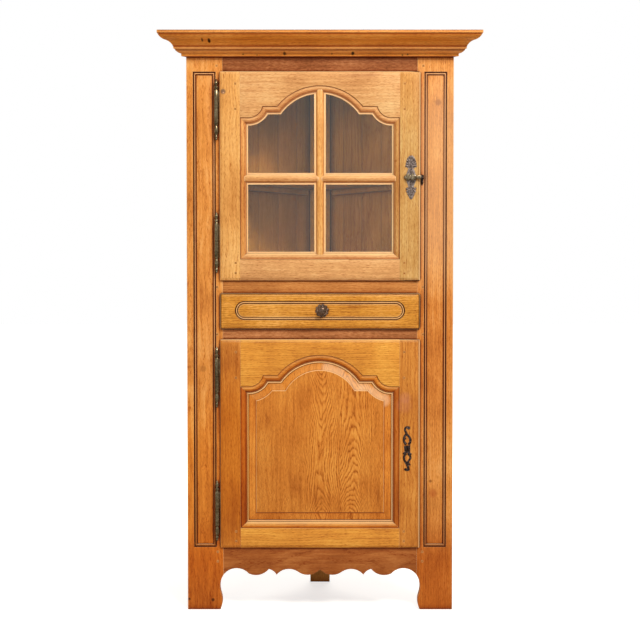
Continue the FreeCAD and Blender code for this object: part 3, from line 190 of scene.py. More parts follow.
def smooth(piece, angle):
    """Shades a piece smooth, but for its edges that are sharper than this."""
    take(piece)
    bpy.ops.object.shade_smooth_by_angle(angle=math.radians(angle))
    return piece


def settle(piece, name, node, material, replaced=()):
    """Names a finished piece, and makes it ride with the body of the CAD node that it belongs to."""
    piece.name = name
    piece.data.name = name
    piece.data.materials.clear()
    piece.data.materials.append(material)
    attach(piece, BODY_OF[node])
    if replaced:
        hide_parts(*replaced)
    return piece


# Oak

# Lengths of the figure of oak. The pores are a third of a millimetre wide in the wood, too fine to show
# from four metres, so they are drawn about four times as coarse.
PORE_WIDTH = 1.3 * MM
PORE_LENGTH = 13 * MM
STREAK_WIDTH = 8 * MM
STREAK_LENGTH = 240 * MM
FLECK_WIDTH = 5 * MM
FLECK_LENGTH = 14 * MM
PATCH_SIZE = 150 * MM
WANDER_SIZE = 110 * MM
WANDER_LENGTH = 300 * MM
WANDER = 24 * MM
RIPPLE_SIZE = 12 * MM
RIPPLE_LENGTH = 60 * MM
BREAK_WIDTH = 4 * MM
BREAK_LENGTH = 14 * MM
QUIRK_REACH = 6 * MM
HOLLOW_REACH = 24 * MM
EDGE_REACH = 3 * MM
# The feet darken towards the floor between these heights.
FOOT_DARK_FROM = 0.32
FOOT_DARK_TO = 0.05
# Wax makes oak far less glossy than varnish does.
WAX_GLOSS = 0.12


def stretched_noise(tree, place, width, length, detail, output=0):
    """Noise that is drawn out along the grain."""
    place = add(tree, "VectorMath", {0: place, 1: (1 / width, 1 / width, 1 / length)}, operation="MULTIPLY")
    return add(tree, "TexNoise", {"Vector": place, "Scale": 1.0, "Detail": detail, "Roughness": 0.6},
               output=output)


def moved_by(tree, place, noise, reach):
    """A place pushed about by coloured noise."""
    noise = add(tree, "VectorMath", {0: noise, 1: (0.5, 0.5, 0.5)}, operation="SUBTRACT")
    noise = add(tree, "VectorMath", {0: noise, "Scale": reach}, operation="SCALE")
    return add(tree, "VectorMath", {0: place, 1: noise}, operation="ADD")


def lay_in_hollows(tree, colour, shade, reach, start, full, most, blend="MIX", easing="LINEAR", samples=8,
                   **settings):
    """Lays a shade over what is hollow within this reach, or over its edges where inside is set."""
    hollow = add(tree, "AmbientOcclusion", {"Distance": reach}, output="AO", samples=samples, **settings)
    hollow = add(tree, "MapRange", {"Value": hollow, "From Min": start, "From Max": full, "To Max": most},
                 interpolation_type=easing)
    return add(tree, "MixRGB", {0: hollow, 1: colour, 2: linear(shade)}, blend_type=blend)


def soft_spot(tree, flat, middle, size, core, strength):
    """How much of a round spot lies here: all of it within its core, and none beyond its size."""
    off = add(tree, "VectorMath", {0: flat, 1: (middle[0] * MM, 0, middle[1] * MM)}, output="Value",
              operation="DISTANCE")
    return add(tree, "MapRange", {"Value": off, "From Min": size * MM, "From Max": core * size * MM,
                                  "To Max": strength}, interpolation_type="SMOOTHSTEP")


def away_from(tree, value, middle):
    """How far a value lies from this middle, on either side of it."""
    off = add(tree, "Math", {0: value, 1: middle}, operation="SUBTRACT")
    return add(tree, "Math", {0: off}, operation="ABSOLUTE")


DOOR_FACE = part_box("lower_door_top_rail")[0].y
DOOR_MOULDING_HALF_WIDTH = 285 * MM
DOOR_MOULDING_HALF_HEIGHT = 345 * MM


def door_depth(door):
    """A measure of how far a place in the middle of a door lies below its face."""
    middle_z = (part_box(door + "_hinge_stile")[0].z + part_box(door + "_hinge_stile")[1].z) / 2

    def measure(tree, x, y, z):
        beside = away_from(tree, x, 0)
        beside = add(tree, "Math", {0: beside, 1: DOOR_MOULDING_HALF_WIDTH}, operation="LESS_THAN")
        above = away_from(tree, z, middle_z)
        above = add(tree, "Math", {0: above, 1: DOOR_MOULDING_HALF_HEIGHT}, operation="LESS_THAN")
        depth = add(tree, "Math", {0: y, 1: DOOR_FACE}, operation="SUBTRACT")
        depth = add(tree, "Math", {0: depth, 1: beside}, operation="MULTIPLY")
        return add(tree, "Math", {0: depth, 1: above}, operation="MULTIPLY")
    return measure


SUNK_MIDDLE = (401 * MM, 1047.5 * MM)
SUNK_HALF = (39.5 * MM, 827.5 * MM)


def inside_sunk_panel(tree, x, y, z):
    """How far a place lies inside the outline of the sunk panel of its stile."""
    across = away_from(tree, away_from(tree, x, 0), SUNK_MIDDLE[0])
    across = add(tree, "Math", {0: SUNK_HALF[0], 1: across}, operation="SUBTRACT")
    along = away_from(tree, z, SUNK_MIDDLE[1])
    along = add(tree, "Math", {0: SUNK_HALF[1], 1: along}, operation="SUBTRACT")
    return add(tree, "Math", {0: across, 1: along}, operation="MINIMUM")


OVAL_MIDDLE_Z = 1048 * MM
OVAL_STRAIGHT_HALF = 262 * MM
OVAL_RADIUS = 33.7 * MM


def inside_oval(tree, x, y, z):
    """How far a place lies inside the long oval of the drawer front, with the wax along its edge."""
    over = add(tree, "Math", {0: away_from(tree, x, 0), 1: OVAL_STRAIGHT_HALF}, operation="SUBTRACT")
    over = add(tree, "Math", {0: over, 1: 0.0}, operation="MAXIMUM")
    above = add(tree, "Math", {0: z, 1: OVAL_MIDDLE_Z}, operation="SUBTRACT")
    off = add(tree, "CombineXYZ", {0: over, 1: above})
    off = add(tree, "VectorMath", {0: off}, output="Value", operation="LENGTH")
    return add(tree, "Math", {0: OVAL_RADIUS, 1: off}, operation="SUBTRACT")


CORNICE_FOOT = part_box("cornice_moulding")[0].z


def over_cornice_foot(tree, x, y, z):
    return add(tree, "Math", {0: z, 1: CORNICE_FOOT}, operation="SUBTRACT")


# A tint that leaves the oak as it is.
CLEAN = "#FFFFFF"

# Where wax and dirt have settled in the mouldings and where hands have rubbed them pale, together with
# painted shade in their quirks, grooves and undersides and painted highlights on their fillets and beads, as
# (measure in millimetres, tint, share of pale).
SUNK_WEAR_AND_SHADING = [(0, CLEAN, 0), (0.2, "#6C3C28", 0), (3.2, "#6C3C28", 0), (4.2, CLEAN, 0.35),
             (6.8, CLEAN, 0.25), (8.2, "#80503A", 0), (11.2, "#70442E", 0), (12.6, CLEAN, 0)]
LOWER_DOOR_WEAR_AND_SHADING = [(0.5, CLEAN, 0), (1.1, "#F0D8C0", 0), (2.6, "#ECCCB0", 0), (3.3, "#CCA080", 0),
                   (3.74, "#8C5E48", 0), (4.4, "#E0BC9C", 0), (8.3, "#C49474", 0), (8.75, "#C49474", 0),
                   (8.85, CLEAN, 0.55), (9.1, CLEAN, 0.45), (9.3, "#7A4830", 0), (9.8, "#7A4830", 0),
                   (10.6, CLEAN, 0)]
UPPER_DOOR_WEAR_AND_SHADING = [(0.8, CLEAN, 0), (1.6, "#F8E8DC", 0), (2.9, "#F0D8C8", 0.05),
                   (3.4, "#B88A6C", 0), (3.74, "#94684C", 0), (4.3, "#F0D4C4", 0.08), (7.8, "#E4C4AC", 0.05),
                   (8.5, "#B88C70", 0), (8.75, CLEAN, 0.45), (9.2, CLEAN, 0.45), (9.4, "#A06C50", 0),
                   # Past ten millimetres the tint is a painted shade on the underside of the glazing rebate.
                   (9.8, "#80543C", 0), (10.3, "#4E3020", 0), (12.4, "#4E3020", 0), (13.0, CLEAN, 0)]
BAR_WEAR_AND_SHADING = [(2.0, CLEAN, 0), (5.0, "#F0DCC8", 0), (8.2, "#D0A888", 0),
            (8.6, CLEAN, 0.5), (9.4, CLEAN, 0.5), (9.6, "#D0A890", 0), (10.4, CLEAN, 0)]
OVAL_WEAR_AND_SHADING = [(0, CLEAN, 0), (0.3, "#4E2616", 0), (4.0, "#4E2616", 0), (5.2, CLEAN, 0.4),
             (7.2, CLEAN, 0.4), (8.0, "#4E2616", 0), (10.6, "#4E2616", 0), (11.6, CLEAN, 0.15),
             (17.0, CLEAN, 0)]
CORNICE_WEAR_AND_SHADING = [(0, "#C49478", 0), (1.6, CLEAN, 0), (15.6, CLEAN, 0.1), (17.2, "#8A5840", 0),
                (18.6, "#8A5840", 0), (20.0, CLEAN, 0.12), (26.5, CLEAN, 0.12), (28.0, "#B07860", 0),
                (30.0, "#C89478", 0), (35.0, CLEAN, 0), (58.0, CLEAN, 0), (62.0, "#D8B098", 0),
                (63.4, "#84543E", 0), (64.8, "#84543E", 0), (66.0, CLEAN, 0.1), (71.5, CLEAN, 0.1),
                (73.5, "#9A6C50", 0), (75.0, "#7A5040", 0)]
PANEL_WEAR_AND_SHADING = [(4.1, "#F4E8DC", 0), (4.4, CLEAN, 0.35), (6.0, CLEAN, 0.35),
              (6.4, "#A87860", 0), (6.8, "#D8B49C", 0), (7.3, "#FFF0DC", 0)]


def oak(name, grain, pale, warm, deep, boards, ring=5.0, figure=0.5, mottle=0.28, drift=0.0, dirt_and_shade=0.95,
        rough=0.7, stray=1.0, bow=0.0, foot=0.0, edge_wear_and_highlight=0.55, marks=(), marks_between=None, tints=(),
        measure=None, wear_and_shading=()):
    """Waxed oak. Each board is (where it ends along X, how far the middle of its log lies beside and
    behind it, the slope of that log), and ring is the width of a year, all in millimetres but the slope.
    That gives straight grain, or the pointed arches of a board sawn beside the middle. A bowed log turns
    them over halfway up. To the eye it is honey brown, darker in the pores and where wax and dirt have
    settled, and softly glossy. Over that lie painted shade in its hollows and quirks and on what looks down,
    and painted highlights on its edges and fillets and on what looks up. Its wear and painted shading is a
    list of tints along a measure, and its marks, some of them painted reflections, may lie only between
    two places along Y."""
    material, tree, shader = new_material(name)

    place = add(tree, "TexCoord", {}, output="Object")
    x, y, z = add(tree, "SeparateXYZ", {0: place}).node.outputs
    board = add(tree, "CombineXYZ", {0: z, 1: y, 2: x}) if grain == "level" else place
    board = add(tree, "VectorMath", {0: board, 1: (0, 0, drift)}, operation="ADD")
    wander = stretched_noise(tree, board, WANDER_SIZE, WANDER_LENGTH, 2.0, output="Color")
    ripple = stretched_noise(tree, board, RIPPLE_SIZE, RIPPLE_LENGTH, 3.0, output="Color")
    bent = moved_by(tree, moved_by(tree, board, wander, stray * WANDER), ripple, rough * ring * MM)

    # A ramp in steps holds the log of each board, moved by a half to keep it above nought.
    span = add(tree, "MapRange", {"Value": x, "From Min": -0.5, "From Max": 0.5})
    log = add(tree, "ValToRGB", {0: span})
    log.node.color_ramp.interpolation = "CONSTANT"
    starts = [0.0] + [0.5 + end * MM for end, beside, behind, lean in boards[:-1]]
    set_ramp(log, [(start, (0.5 + beside * MM, 0.5 + behind * MM, 0.5 + lean, 1))
                   for start, (end, beside, behind, lean) in zip(starts, boards)])
    log = add(tree, "VectorMath", {0: log, 1: (0.5, 0.5, 0.5)}, operation="SUBTRACT")
    beside, behind, lean = add(tree, "SeparateXYZ", {0: log}).node.outputs
    u, v, w = add(tree, "SeparateXYZ", {0: bent}).node.outputs
    away = add(tree, "Math", {0: u, 1: beside}, operation="SUBTRACT")
    lean = add(tree, "Math", {0: w, 1: -bow, 2: lean}, operation="MULTIPLY_ADD")
    depth = add(tree, "Math", {0: w, 1: lean, 2: v}, operation="MULTIPLY_ADD")
    depth = add(tree, "Math", {0: depth, 1: behind}, operation="SUBTRACT")
    radius = add(tree, "CombineXYZ", {0: away, 1: depth})
    radius = add(tree, "VectorMath", {0: radius}, output="Value", operation="LENGTH")
    years = add(tree, "Math", {0: radius, 1: ring * MM}, operation="DIVIDE")
    in_year = add(tree, "Math", {0: years}, operation="FRACT")
    year_tone = set_ramp(add(tree, "ValToRGB", {0: in_year}), [
        (0.0, (0.25, 0.25, 0.25, 1)), (0.14, (0.0, 0.0, 0.0, 1)), (0.40, (0.62, 0.62, 0.62, 1)),
        (0.80, (1.0, 1.0, 1.0, 1)), (1.0, (0.40, 0.40, 0.40, 1))])

    streak = stretched_noise(tree, bent, STREAK_WIDTH, STREAK_LENGTH, 4.0)
    patch = add(tree, "TexNoise", {"Vector": board, "Scale": 1 / PATCH_SIZE, "Detail": 2.0})
    fleck = stretched_noise(tree, bent, FLECK_WIDTH, FLECK_LENGTH, 2.0)
    pores = stretched_noise(tree, bent, PORE_WIDTH, PORE_LENGTH, 1.0)
    pores = add(tree, "MapRange", {"Value": pores, "From Min": 0.48, "From Max": 0.70})
    early = add(tree, "MapRange", {"Value": year_tone, "From Min": 0.75, "From Max": 0.05,
                                   "To Min": 0.35, "To Max": 0.95})
    pores = add(tree, "Math", {0: pores, 1: early}, operation="MULTIPLY")

    # The rings are broken up along the grain, as the pores of oak break them.
    broken = stretched_noise(tree, bent, BREAK_WIDTH, BREAK_LENGTH, 2.0)
    strength = add(tree, "MapRange", {"Value": broken, "From Min": 0.35, "From Max": 0.60,
                                      "To Min": 0.08 * figure, "To Max": 0.40 * figure})
    here = add(tree, "MapRange", {"Value": patch, "From Min": 0.38, "From Max": 0.62,
                                  "To Min": 0.4, "To Max": 1.3})
    strength = add(tree, "Math", {0: strength, 1: here}, operation="MULTIPLY")
    tone = add(tree, "Math", {0: year_tone, 1: 0.55}, operation="SUBTRACT")
    tone = add(tree, "Math", {0: tone, 1: strength, 2: 0.5}, operation="MULTIPLY_ADD")
    for part, share in ((streak, 0.70), (patch, 0.70), (fleck, mottle)):
        part = add(tree, "Math", {0: part, 1: 0.5}, operation="SUBTRACT")
        tone = add(tree, "Math", {0: part, 1: share, 2: tone}, operation="MULTIPLY_ADD")
    lowest = add(tree, "MapRange", {"Value": z, "From Min": FOOT_DARK_FROM, "From Max": FOOT_DARK_TO,
                                    "To Max": foot})
    tone = add(tree, "Math", {0: tone, 1: lowest}, operation="SUBTRACT")
    colour = set_ramp(add(tree, "ValToRGB", {0: tone}), [
        (0.12, linear(deep)), (0.50, linear(warm)), (0.85, linear(pale))])
    colour = add(tree, "MixRGB", {0: pores, 1: colour, 2: linear("#C08A5C")}, blend_type="MULTIPLY")

    # Wear and painted shade lie less on what looks up.
    up = add(tree, "NewGeometry", {}, output="True Normal")
    up = add(tree, "SeparateXYZ", {0: up}).node.outputs["Z"]
    if wear_and_shading:
        reach = wear_and_shading[-1][0] * MM
        along = add(tree, "MapRange", {"Value": measure(tree, x, y, z), "From Max": reach})
        tint = set_ramp(add(tree, "ValToRGB", {0: along}), [
            (at * MM / reach, linear(shade)[:3] + [highlight_and_rub_share]) for at, shade, highlight_and_rub_share in wear_and_shading])
        wear_and_shade_mask = add(tree, "MapRange", {"Value": up, "From Min": 0.05, "From Max": 0.45,
                                       "To Min": 1.0, "To Max": 0.3})
        colour = add(tree, "MixRGB", {0: wear_and_shade_mask, 1: colour, 2: tint}, blend_type="MULTIPLY")
        # Painted highlight: the pale share lays cream over fillets, beads and step edges.
        colour = add(tree, "MixRGB", {0: tint.node.outputs["Alpha"], 1: colour, 2: linear("#FFDCA8")},
                     blend_type="MIX")

    flat = add(tree, "CombineXYZ", {0: x, 2: z})
    for tint_x, tint_z, size, shade in tints:
        spread = soft_spot(tree, flat, (tint_x, tint_z), size, 0.3, 1.0)
        colour = add(tree, "MixRGB", {0: spread, 1: colour, 2: linear(shade)}, blend_type="MULTIPLY")

    # What looks down is painted darker, a painted shade, and what looks up is painted paler, a painted
    # highlight.
    painted_shade_below = add(tree, "MapRange", {"Value": up, "From Min": -0.08, "From Max": -0.55, "To Max": 0.8 * dirt_and_shade})
    colour = add(tree, "MixRGB", {0: painted_shade_below, 1: colour, 2: linear("#B47850")}, blend_type="MULTIPLY")
    rubbed_and_highlight = add(tree, "MapRange", {"Value": up, "From Min": 0.15, "From Max": 0.70, "To Max": 0.50})
    colour = add(tree, "MixRGB", {0: rubbed_and_highlight, 1: colour, 2: linear("#FCD89C")}, blend_type="MIX")

    if marks_between:
        front, back = marks_between
        on_bevel = add(tree, "Math", {0: y, 1: (front + back) / 2, 2: (back - front) / 2},
                       operation="COMPARE")
    for mark_x, mark_z, size, cover, shade in marks:
        spot = soft_spot(tree, flat, (mark_x, mark_z), size, 0.4, cover)
        if marks_between:
            spot = add(tree, "Math", {0: spot, 1: on_bevel}, operation="MULTIPLY")
        colour = add(tree, "MixRGB", {0: spot, 1: colour, 2: linear(shade)}, blend_type="MIX")

    # Painted shade: hollows and quirks are darkened where shade falls in them, together with the dirt and
    # wax that settle there. Edges are painted paler, both as worn and as catching light.
    colour = lay_in_hollows(tree, colour, "#B06A38", HOLLOW_REACH, 0.95, 0.40, dirt_and_shade, blend="MULTIPLY")
    colour = lay_in_hollows(tree, colour, "#481806", QUIRK_REACH, 0.90, 0.62, dirt_and_shade, easing="SMOOTHSTEP")
    colour = lay_in_hollows(tree, colour, "#F6CC96", EDGE_REACH, 0.72, 0.40, edge_wear_and_highlight, samples=6, inside=True)

    gloss = add(tree, "Math", {0: streak, 1: 0.22, 2: 0.30}, operation="MULTIPLY_ADD")
    gloss = add(tree, "Math", {0: pores, 1: 0.22, 2: gloss}, operation="MULTIPLY_ADD")
    relief = add(tree, "Math", {0: pores, 1: -1.0, 2: year_tone}, operation="MULTIPLY_ADD")
    normal = add(tree, "Bump", {"Strength": 0.35, "Distance": 0.25 * MM, "Height": relief}, output="Normal")
    feed(tree, shader, {"Base Color": colour, "Roughness": gloss, "Normal": normal,
                        "Specular IOR Level": WAX_GLOSS})
    return material


def straight(beside, behind):
    """One board over the whole width, sawn this far from the middle of its log."""
    return [(0, beside, behind, 0)]


# Worm holes, nail holes, knots and pale patches, as (x, z, size in millimetres, strength, colour), and
# tints over a part of a piece, as (x, z, size in millimetres, colour). The pale patch high on the right
# stile and the pale marks on the panel's bevel are painted reflections.
CORNICE_MARKS = [(-401, 1971, 5, 0.9, "#3A1A06"), (-378, 1969, 7, 1.0, "#2E1404"),
                 (-265, 1931.5, 4.5, 0.7, "#4A220A"), (-217, 1929, 4, 0.6, "#4A220A"),
                 (-122, 1933, 7, 0.9, "#3A1A06"), (41, 1933, 4, 0.6, "#4A220A"),
                 (113, 1933.5, 7, 1.0, "#2E1404"), (284, 1929, 4.5, 0.8, "#3A1A06"),
                 (302, 1931, 4.5, 0.8, "#3A1A06")]
STILE_MARKS_AND_SHEEN = [(410, 1770, 15, 0.75, "#8A4A22"), (386, 451, 7, 0.7, "#7A3A14"),
               (395, 409, 20, 0.45, "#A8481E"), (-408, 845, 15, 0.5, "#9A5A24"),
               (-458, 37, 6, 0.9, "#4A220A"), (-375, 34, 8, 0.9, "#4A220A"),
               # The great pale patch high on the right stile is a painted sheen of reflected light.
               (420, 1500, 460, 0.32, "#D8B088")]
DOOR_MARKS = [(-334.7, 1805, 12, 0.85, "#6E5448"), (-333.5, 1801, 3.4, 0.8, "#DCAA84"),
              (262, 1566, 6, 0.6, "#8A4A1E")]
DOOR_TINTS = [(310, 1420, 560, "#E8F4FF")]
LOWER_DOOR_MARKS = [(292, 718, 34, 0.30, "#C07858"), (296, 745, 26, 0.28, "#C88468")]
LOWER_DOOR_TINTS = [(-330, 520, 460, "#F8E0A8")]
STILE_TINTS = [(-410, 400, 500, "#FCE8B8"), (410, 60, 330, "#DCB890"), (-410, 60, 300, "#F0D4B0"),
               (420, 900, 380, "#F4E8DC")]
PANEL_BOARDS = [(-61, -420, -300, 0.0), (70, 3, -163, 0.297), (500, 112, -116, 0.405)]
PANEL_BEVEL = (DOOR_FACE + 6.3 * MM, DOOR_FACE + 12.3 * MM)
# Painted reflection: pale spots along the upper right of the panel's arched bevel, as light mirrored in its
# wax.
PANEL_REFLECTION = (30, 0.30, "#F6D8B4")
PANEL_REFLECTION_MARKS = [(x, z, *PANEL_REFLECTION) for x, z in (
    (30, 850), (66, 832), (98, 806), (128, 782), (160, 772), (192, 760), (222, 736))]

UPPER_DOOR = dict(measure=door_depth("upper_door"), wear_and_shading=UPPER_DOOR_WEAR_AND_SHADING, dirt_and_shade=0.45)
LOWER_DOOR = dict(measure=door_depth("lower_door"), wear_and_shading=LOWER_DOOR_WEAR_AND_SHADING, dirt_and_shade=0.45)

OAKS = {
    "oak_stiles": oak("waxed_oak_stiles", "upright", "#EEB46C", "#DA9044", "#A65C22", straight(-480, 220),
                      ring=5.5, figure=0.35, foot=0.12, marks=STILE_MARKS_AND_SHEEN, tints=STILE_TINTS,
                      measure=inside_sunk_panel, wear_and_shading=SUNK_WEAR_AND_SHADING),
    "oak_cornice": oak("waxed_oak_cornice", "level", "#F2AC56", "#DE8C34", "#A85A1A", straight(300, 420),
                       ring=5.5, drift=1.3, dirt_and_shade=0.15, marks=CORNICE_MARKS, measure=over_cornice_foot,
                       wear_and_shading=CORNICE_WEAR_AND_SHADING),
    "oak_panel": oak("waxed_oak_panel", "upright", "#E8A850", "#D68C3A", "#985018", PANEL_BOARDS, ring=3.4,
                     figure=1.5, rough=1.5, stray=1.3, bow=0.27, marks=PANEL_REFLECTION_MARKS,
                     marks_between=PANEL_BEVEL, measure=door_depth("lower_door"), wear_and_shading=PANEL_WEAR_AND_SHADING),
    "oak_drawer_front": oak("waxed_oak_drawer_front", "level", "#E8AC58", "#D29036", "#A06022",
                            straight(440, 60), ring=6.0, figure=1.1, mottle=0.6, drift=0.7,
                            measure=inside_oval, wear_and_shading=OVAL_WEAR_AND_SHADING),
    "oak_pegs": oak("waxed_oak_pegs", "level", "#C48A4C", "#B07638", "#8A5424", straight(0, 0), ring=3.0,
                    drift=0.4, dirt_and_shade=0.35, edge_wear_and_highlight=0.1),
    "oak_inside": oak("plain_oak_inside", "upright", "#D49C56", "#BC8240", "#966028", straight(450, 300),
                      drift=2.2, dirt_and_shade=0.6),
}
UPPER_UPRIGHT = oak("waxed_oak_upper_door_upright", "upright", "#F0C07A", "#DCA058", "#B47030",
                    straight(-470, 180), figure=0.3, drift=0.8, marks=DOOR_MARKS, tints=DOOR_TINTS,
                    **UPPER_DOOR)
UPPER_LEVEL = oak("waxed_oak_upper_door_level", "level", "#ECC88E", "#DAA46A", "#B07440",
                  straight(480, 160), figure=0.4, drift=0.3, **UPPER_DOOR)
BAR_UPRIGHT = oak("waxed_oak_upright_bar", "upright", "#F4C884", "#E4A860", "#B47030", straight(-470, 180),
                  figure=0.3, drift=1.5, dirt_and_shade=0.3, measure=door_depth("upper_door"), wear_and_shading=BAR_WEAR_AND_SHADING)
BAR_LEVEL = oak("waxed_oak_cross_bars", "level", "#F0C888", "#DEA468", "#B07440", straight(480, 160),
                figure=0.4, drift=1.1, dirt_and_shade=0.5, measure=door_depth("upper_door"), wear_and_shading=BAR_WEAR_AND_SHADING)
LOWER_UPRIGHT = oak("waxed_oak_lower_door_upright", "upright", "#E09E4C", "#C67E34", "#964C1A",
                    straight(480, 210), figure=0.45, drift=1.9, marks=LOWER_DOOR_MARKS,
                    tints=LOWER_DOOR_TINTS, **LOWER_DOOR)
LOWER_LEVEL = oak("waxed_oak_lower_door_level", "level", "#EEB452", "#DB953C", "#A85E22",
                  straight(490, 190), figure=0.4, drift=2.7, **LOWER_DOOR)
DARK_LEVEL = oak("waxed_oak_rails_dark", "level", "#C08050", "#9A5C34", "#6C3A1A", straight(-430, 260),
                 ring=4.5, mottle=0.8, drift=1.1)
RED_LEVEL = oak("waxed_oak_lower_rail", "level", "#D0905C", "#AE7042", "#7E4A26", straight(-430, 280),
                ring=4.5, mottle=0.8, drift=2.3)
CROSS_LEVEL = oak("waxed_oak_cross_rails", "level", "#E0A25C", "#C48244", "#985A2A", straight(460, 240),
                  drift=0.6)
APRON_LEVEL = oak("waxed_oak_apron", "level", "#BE7A40", "#A25C2A", "#7C4018", straight(140, 240),
                  drift=0.9)
INSIDE_LEVEL = oak("plain_oak_shelves", "level", "#D49C56", "#BC8240", "#966028", straight(490, 260),
                   drift=3.1, dirt_and_shade=0.6)

OAK_OF_NODE = {
    "frieze_rail": DARK_LEVEL, "lower_cross_rail": RED_LEVEL, "upper_cross_rail": CROSS_LEVEL,
    "apron_rail": APRON_LEVEL,
    "upper_door_hinge_stile": UPPER_UPRIGHT, "upper_door_lock_stile": UPPER_UPRIGHT,
    "upper_door_top_rail": UPPER_LEVEL, "upper_door_bottom_rail": UPPER_LEVEL,
    "glazing_upright_bar": BAR_UPRIGHT, "glazing_left_bar": BAR_LEVEL, "glazing_right_bar": BAR_LEVEL,
    "glazing_beads": UPPER_UPRIGHT,
    "lower_door_hinge_stile": LOWER_UPRIGHT, "lower_door_lock_stile": LOWER_UPRIGHT,
    "lower_door_top_rail": LOWER_LEVEL, "lower_door_bottom_rail": LOWER_LEVEL,
    "top_board": INSIDE_LEVEL, "upper_cupboard_floor": INSIDE_LEVEL, "drawer_bearer_board": INSIDE_LEVEL,
    "lower_cupboard_floor": INSIDE_LEVEL, "upper_shelf": INSIDE_LEVEL, "lower_shelf": INSIDE_LEVEL,
    "drawer_back": INSIDE_LEVEL, "drawer_bottom": INSIDE_LEVEL,
}


# Metals and glass

MOTTLE_SIZE = 6 * MM
GRIME_REACH = 4 * MM
RUBBED_AND_GLINT_REACH = 1.2 * MM


def metal(name, base, worn_and_glint, hollow_colour, roughness, metallic, grit=0.8, pitting=0.12, patchy=1.0,
          rubbed_and_highlight=0.75):
    """Worked metal with a skin of age: darker in its hollows and rubbed brighter on its high parts, where
    the brighter edges also stand as a painted glint. Its grit is the grain of the casting or of the rust and
    its pitting how deep that goes, in millimetres.
    What is patchy varies in tone from place to place, and its edges are rubbed and painted with a glint by
    the share given."""
    material, tree, shader = new_material(name)
    place = add(tree, "TexCoord", {}, output="Object")
    mottle = add(tree, "TexNoise", {"Vector": place, "Scale": 1 / MOTTLE_SIZE, "Detail": 4.0,
                                    "Roughness": 0.65})
    grain = add(tree, "TexNoise", {"Vector": place, "Scale": 1 / (grit * MM), "Detail": 2.0})
    mottle = add(tree, "Math", {0: mottle, 1: 0.5}, operation="SUBTRACT")
    mottle = add(tree, "Math", {0: mottle, 1: patchy, 2: 0.5}, operation="MULTIPLY_ADD")
    colour = set_ramp(add(tree, "ValToRGB", {0: mottle}), [
        (0.30, linear(hollow_colour)), (0.50, linear(base)), (0.80, linear(worn_and_glint))])
    colour = lay_in_hollows(tree, colour, hollow_colour, GRIME_REACH, 0.85, 0.40, 0.85, only_local=True)
    # Painted highlight: the rubbed edges are laid brighter, both as worn and as glints.
    colour = lay_in_hollows(tree, colour, worn_and_glint, RUBBED_AND_GLINT_REACH, 0.62, 0.25, rubbed_and_highlight, inside=True,
                            only_local=True)
    gloss = add(tree, "Math", {0: mottle, 1: 0.30, 2: roughness - 0.15}, operation="MULTIPLY_ADD")
    normal = add(tree, "Bump", {"Strength": 0.5, "Distance": pitting * MM, "Height": grain}, output="Normal")
    feed(tree, shader, {"Base Color": colour, "Roughness": gloss, "Normal": normal, "Metallic": metallic})
    return material


# Turned iron, brown, with a pale gleam down the middle of its barrels.
HINGE_IRON = metal("turned_iron", "#66583F", "#D8CCA8", "#140C06", 0.24, 0.95, pitting=0.02, patchy=0.4)
# Cast bronze with a brown grey skin: matt, and pale only on the ribs of its leaves.
PLATE_BRONZE = metal("patinated_cast_bronze", "#6A5C56", "#B4A8A0", "#241A14", 0.50, 0.7, rubbed_and_highlight=0.25)
# The same bronze where fingers rub it: brighter and yellower.
HANDLED_BRONZE = metal("rubbed_bronze", "#7E6E54", "#F0E4C8", "#1E160C", 0.26, 0.95, pitting=0.03,
                       patchy=0.4)
# Bronze gone nearly black, with a faint violet grey shine, partly a painted glint on its rubbed edges.
DARK_BRONZE = metal("dark_bronze", "#34261E", "#8C7C78", "#120A08", 0.33, 0.85)
# The bronze of the knob, brown with a pinkish grey gleam, partly a painted glint on its rubbed edges.
KNOB_BRONZE = metal("brown_bronze", "#5E4A3A", "#B8A098", "#24160C", 0.30, 0.9, pitting=0.04, patchy=0.5)
# Plain steel, oiled and gone grey.
LOCK_STEEL = metal("oiled_steel", "#6C6A66", "#A4A29C", "#3A3630", 0.40, 0.95, grit=0.6)

GLASS_WAVE = 90 * MM
GLASS_WAVE_LENGTH = 220 * MM


def window_glass():
    """Drawn window glass: clear and faintly green, with slow waves that bend what it mirrors. The lamps
    shine straight through it."""
    material, tree, shader = new_material("drawn_window_glass")
    place = add(tree, "TexCoord", {}, output="Object")
    wave = stretched_noise(tree, place, GLASS_WAVE, GLASS_WAVE_LENGTH, 1.0)
    colour = set_ramp(add(tree, "ValToRGB", {0: wave}), [
        (0.3, linear("#E8E6C6")), (0.7, linear("#F2F0D6"))])
    normal = add(tree, "Bump", {"Strength": 0.25, "Distance": 0.6 * MM, "Height": wave}, output="Normal")
    feed(tree, shader, {"Base Color": colour, "Normal": normal, "Roughness": 0.02, "IOR": 1.52,
                        "Specular IOR Level": 0.3, "Transmission Weight": 1.0})
    lit = add(tree, "BsdfTransparent", {"Color": linear("#EEF0E6")})
    from_lamp = add(tree, "LightPath", {}, output="Is Shadow Ray")
    both = add(tree, "MixShader", {0: from_lamp, 1: shader.outputs[0], 2: lit})
    feed(tree, tree.nodes["Material Output"], {"Surface": both})
    return material


SLOT_MATERIAL = dict(OAKS, window_glass=window_glass(), hinge_iron=HINGE_IRON, plate_bronze=PLATE_BRONZE,
                     handled_bronze=HANDLED_BRONZE, lock_steel=LOCK_STEEL)


def material_of(node):
    return OAK_OF_NODE.get(node) or SLOT_MATERIAL[SLOT_OF[node]]


def finish_nodes():
    """Gives every CAD node its finish."""
    for node, piece in NODES.items():
        piece.data.materials.clear()
        piece.data.materials.append(material_of(node))


# Oak pieces with their edges eased

EASE_WIDTH = 0.8 * MM
EASE_ANGLE = 34
# The outer arrises of the doors and of the drawer front are rounded well over, all the way round.
ROUND_OVER = 8 * MM
